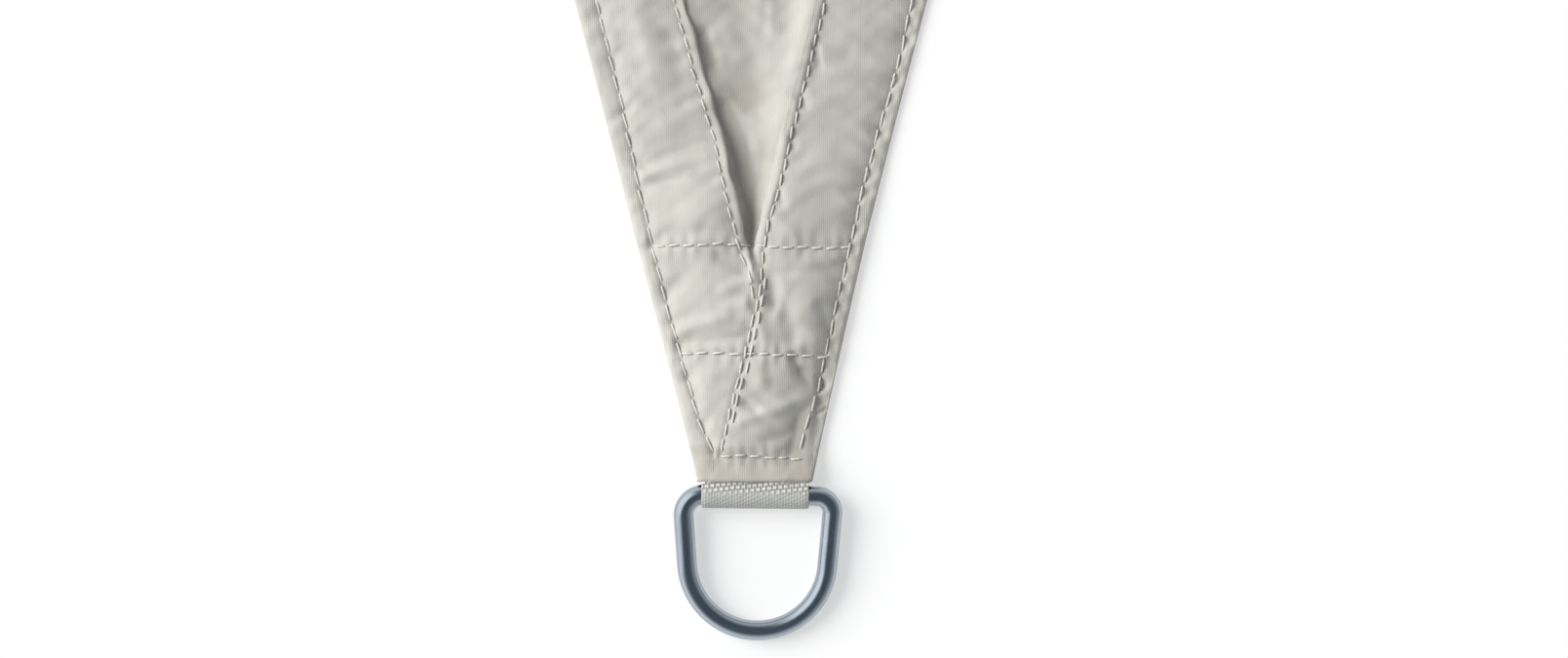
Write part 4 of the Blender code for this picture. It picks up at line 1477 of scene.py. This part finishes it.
def cream_webbing(weave):
    material, tree, shader = new_material("cream_webbing", Specular_IOR_Level=0.35, Sheen_Weight=0.12)
    place = node(tree, "ShaderNodeUVMap", "strip", uv_map="strip").outputs[0]
    pitches = {"Rib_Pitch": WEBBING_RIBS, "Thread_Pitch": WEBBING_THREADS}
    ribs = placed_weave(tree, weave, "ribs", place, **pitches, Unevenness=0.25)["Height"]
    parts = node(tree, "ShaderNodeSeparateXYZ", "across and along")
    linked(tree, place, parts, 0)
    across, along = parts.outputs[0], parts.outputs[1]
    raised, before_round = bead_rows(tree, place, across, along)
    height = worked(tree, "relief", "MULTIPLY_ADD", raised, 2.2, ribs)
    twill = worked(tree, "fine slanting rows", "MULTIPLY_ADD", across, 0.45, along)
    twill = worked(tree, "fine row number", "DIVIDE", twill, FINE_ROWS)
    twill = worked(tree, "fine rows", "PINGPONG", twill, 0.5)
    height = worked(tree, "relief with fine rows", "MULTIPLY_ADD", twill, 1.4, height)
    dye = noise(tree, "uneven dye", place, scale=420.0, detail=3.0)
    colour = mixed(tree, "dye", dye, WEBBING_DARK, WEBBING_LIGHT)
    # painted shade: the low places between ribs and between fine rows are darkened
    rib_shade = worked(tree, "between ribs", "MULTIPLY_ADD", ribs, 0.16, 0.82)
    rib_shade = worked(tree, "between fine rows", "MULTIPLY_ADD", twill, 0.24, rib_shade)
    colour = mixed(tree, "ribs", 1.0, colour, rib_shade, "MULTIPLY")
    # painted shade between the beads and a painted highlight on them, only before the bar's round
    bead_shade = worked(tree, "between beads", "SUBTRACT", before_round, raised)
    colour = mixed(tree, "shade between beads", bead_shade, colour, WEBBING_SHADE)
    colour = mixed(tree, "bright beads", raised, colour, BEAD_HIGHLIGHT)
    rough = worked(tree, "roughness", "MULTIPLY_ADD", dye, 0.15, 0.60)
    surfaced(tree, shader, colour, rough, height, strength=0.6, distance=0.00014)
    return material


def sewing_thread():
    material, tree, shader = new_material("sewing_thread", Sheen_Weight=0.1)
    twist = noise(tree, "twist", object_place(tree), scale=1500.0)
    colour = mixed(tree, "thread", twist, THREAD_DARK, THREAD_LIGHT)
    rough = worked(tree, "roughness", "MULTIPLY_ADD", twist, 0.20, 0.38)
    surfaced(tree, shader, colour, rough, twist, strength=0.4, distance=0.00008)
    return material


def zinc_wire():
    """Bright zinc on steel wire, with streaks along it that are partly drawn grain and partly painted
    reflection, and a few dull patches.
    """
    material, tree, shader = new_material("zinc_wire", Metallic=1.0)
    grain = node(tree, "ShaderNodeAttribute", "round and along", attribute_name="grain")
    drawn = {"scale": 1.0, "detail": 5.0, "roughness": 0.6, "stretch": (9.0, 9.0, 2.5)}
    grain_and_reflection_streaks = noise(tree, "drawn grain and painted reflection streaks", grain.outputs["Vector"], **drawn)
    patches = noise(tree, "dull patches", object_place(tree), scale=90.0, detail=4.0)
    # partly painted reflection: dark and light streaks along the wire stand in for the studio's reflections
    colour = mixed(tree, "zinc", grain_and_reflection_streaks, RING_DARK, RING_LIGHT)
    rough = worked(tree, "polish", "MULTIPLY_ADD", patches, 0.14, 0.15)
    surfaced(tree, shader, colour, rough, grain_and_reflection_streaks, strength=0.12, distance=0.00015)
    return material


# Floor, light and camera

FLOOR_SIZE = 60.0
FLOOR_DROP = 0.0002
FLOOR_LIGHT = (0.502, 0.50, 0.498)
FLOOR_GLOW = 1.02
KEY_STRENGTH = 2.65
KEY_SOFTNESS = 42.0
KEY_DIRECTION = (0.82, -0.32, -0.66)
WINDOW_LIGHT = (1.80, 1.80, 1.80)
WALL_LIGHT = (0.62, 0.62, 0.62)
CEILING_LIGHT = (0.14, 0.17, 0.20)
BOX_LIGHT = (1.90, 1.90, 1.90)
FILL_STRENGTH = 0.78

FRAME_WIDTH = 1608 / 3.4  # of the picture at the cloth, in mm
LENS = 50.0
SENSOR = 36.0
EYE = (10.0, 49.85)  # from the front ring's bar, in mm


def pale_floor():
    bm = bmesh.new()
    bmesh.ops.create_grid(bm, x_segments=1, y_segments=1, size=FLOOR_SIZE)
    material, _, _ = new_material(
        "pale_floor",
        Base_Color=(*FLOOR_LIGHT, 1),
        Emission_Color=(*FLOOR_LIGHT, 1),
        Emission_Strength=FLOOR_GLOW,
        Roughness=0.9,
        Specular_IOR_Level=0.1,
    )
    floor = finished("floor", bm, material)
    floor.data.transform(Matrix.Translation((0, 0, -FLOOR_DROP)))


def key_light():
    key = bpy.data.lights.new("key", "SUN")
    key.energy = KEY_STRENGTH
    key.angle = radians(KEY_SOFTNESS)
    lamp = bpy.data.objects.new("key", key)
    lamp.rotation_euler = Vector(KEY_DIRECTION).to_track_quat("-Z", "Y").to_euler()
    lamp.visible_glossy = False  # the soft box is what shows in the ring
    bpy.context.scene.collection.objects.link(lamp)


def studio():
    """Walls that are bright on the window's side, a dark ceiling, and a soft box in the key's place."""
    world = bpy.data.worlds.new("studio")
    bpy.context.scene.world = world
    world.use_nodes = True
    tree = world.node_tree
    sky = node(tree, "ShaderNodeTexCoord", "direction").outputs["Generated"]
    parts = node(tree, "ShaderNodeSeparateXYZ", "how high")
    linked(tree, sky, parts, 0)
    side = ranged(tree, "window side to far side", parts.outputs[0], -1.0, 1.0)
    high = ranged(tree, "ceiling", parts.outputs[2], 0.18, 0.80)
    walls = mixed(tree, "walls", side, WINDOW_LIGHT, WALL_LIGHT)
    colour = mixed(tree, "walls to ceiling", high, walls, CEILING_LIGHT)
    facing = node(tree, "ShaderNodeVectorMath", "towards the soft box", operation="DOT_PRODUCT")
    facing.inputs[1].default_value = -Vector(KEY_DIRECTION).normalized()
    linked(tree, sky, facing, 0)
    box = ranged(tree, "soft box", facing.outputs["Value"], 0.80, 0.94)
    colour = mixed(tree, "with the soft box", box, colour, BOX_LIGHT)
    back = tree.nodes["Background"]
    linked(tree, colour, back, "Color")
    back.inputs["Strength"].default_value = FILL_STRENGTH


def camera():
    data = bpy.data.cameras.new("camera")
    data.lens = LENS
    data.clip_start = 0.02
    eye = bpy.data.objects.new("camera", data)
    x, y = corner_axes(0)[0] + MIDDLE + EYE
    eye.location = (x * MM, y * MM, FRAME_WIDTH * LENS / SENSOR * MM)
    bpy.context.scene.collection.objects.link(eye)
    bpy.context.scene.camera = eye


# The whole


def dress():
    weave = woven_cloth()
    cloth = cream_polyester(weave)
    webbing = cream_webbing(weave)
    thread = sewing_thread()
    steel = zinc_wire()

    sail = sail_mesh("sail_cloth", cloth)
    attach(sail, "root")
    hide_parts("sail")

    for name, stitches in zip(("outer_stitches", "inner_stitches", "cross_stitches"), seam_stitches()):
        sewing = stitches_mesh(name, thread, stitches)
        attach(sewing, "root")

    for number, name in enumerate(CORNER_NAMES):
        loop = webbing_loop("loop_" + name, webbing, number)
        ring = d_ring("ring_" + name, steel, number)
        for piece, solid, slot in ((loop, "webbing_loop_", "webbing"), (ring, "d_ring_", "ring")):
            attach(piece, "root")
            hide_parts(solid + name)


dress()
pale_floor()
key_light()
studio()
camera()
bpy.context.scene.view_settings.view_transform = "Standard"
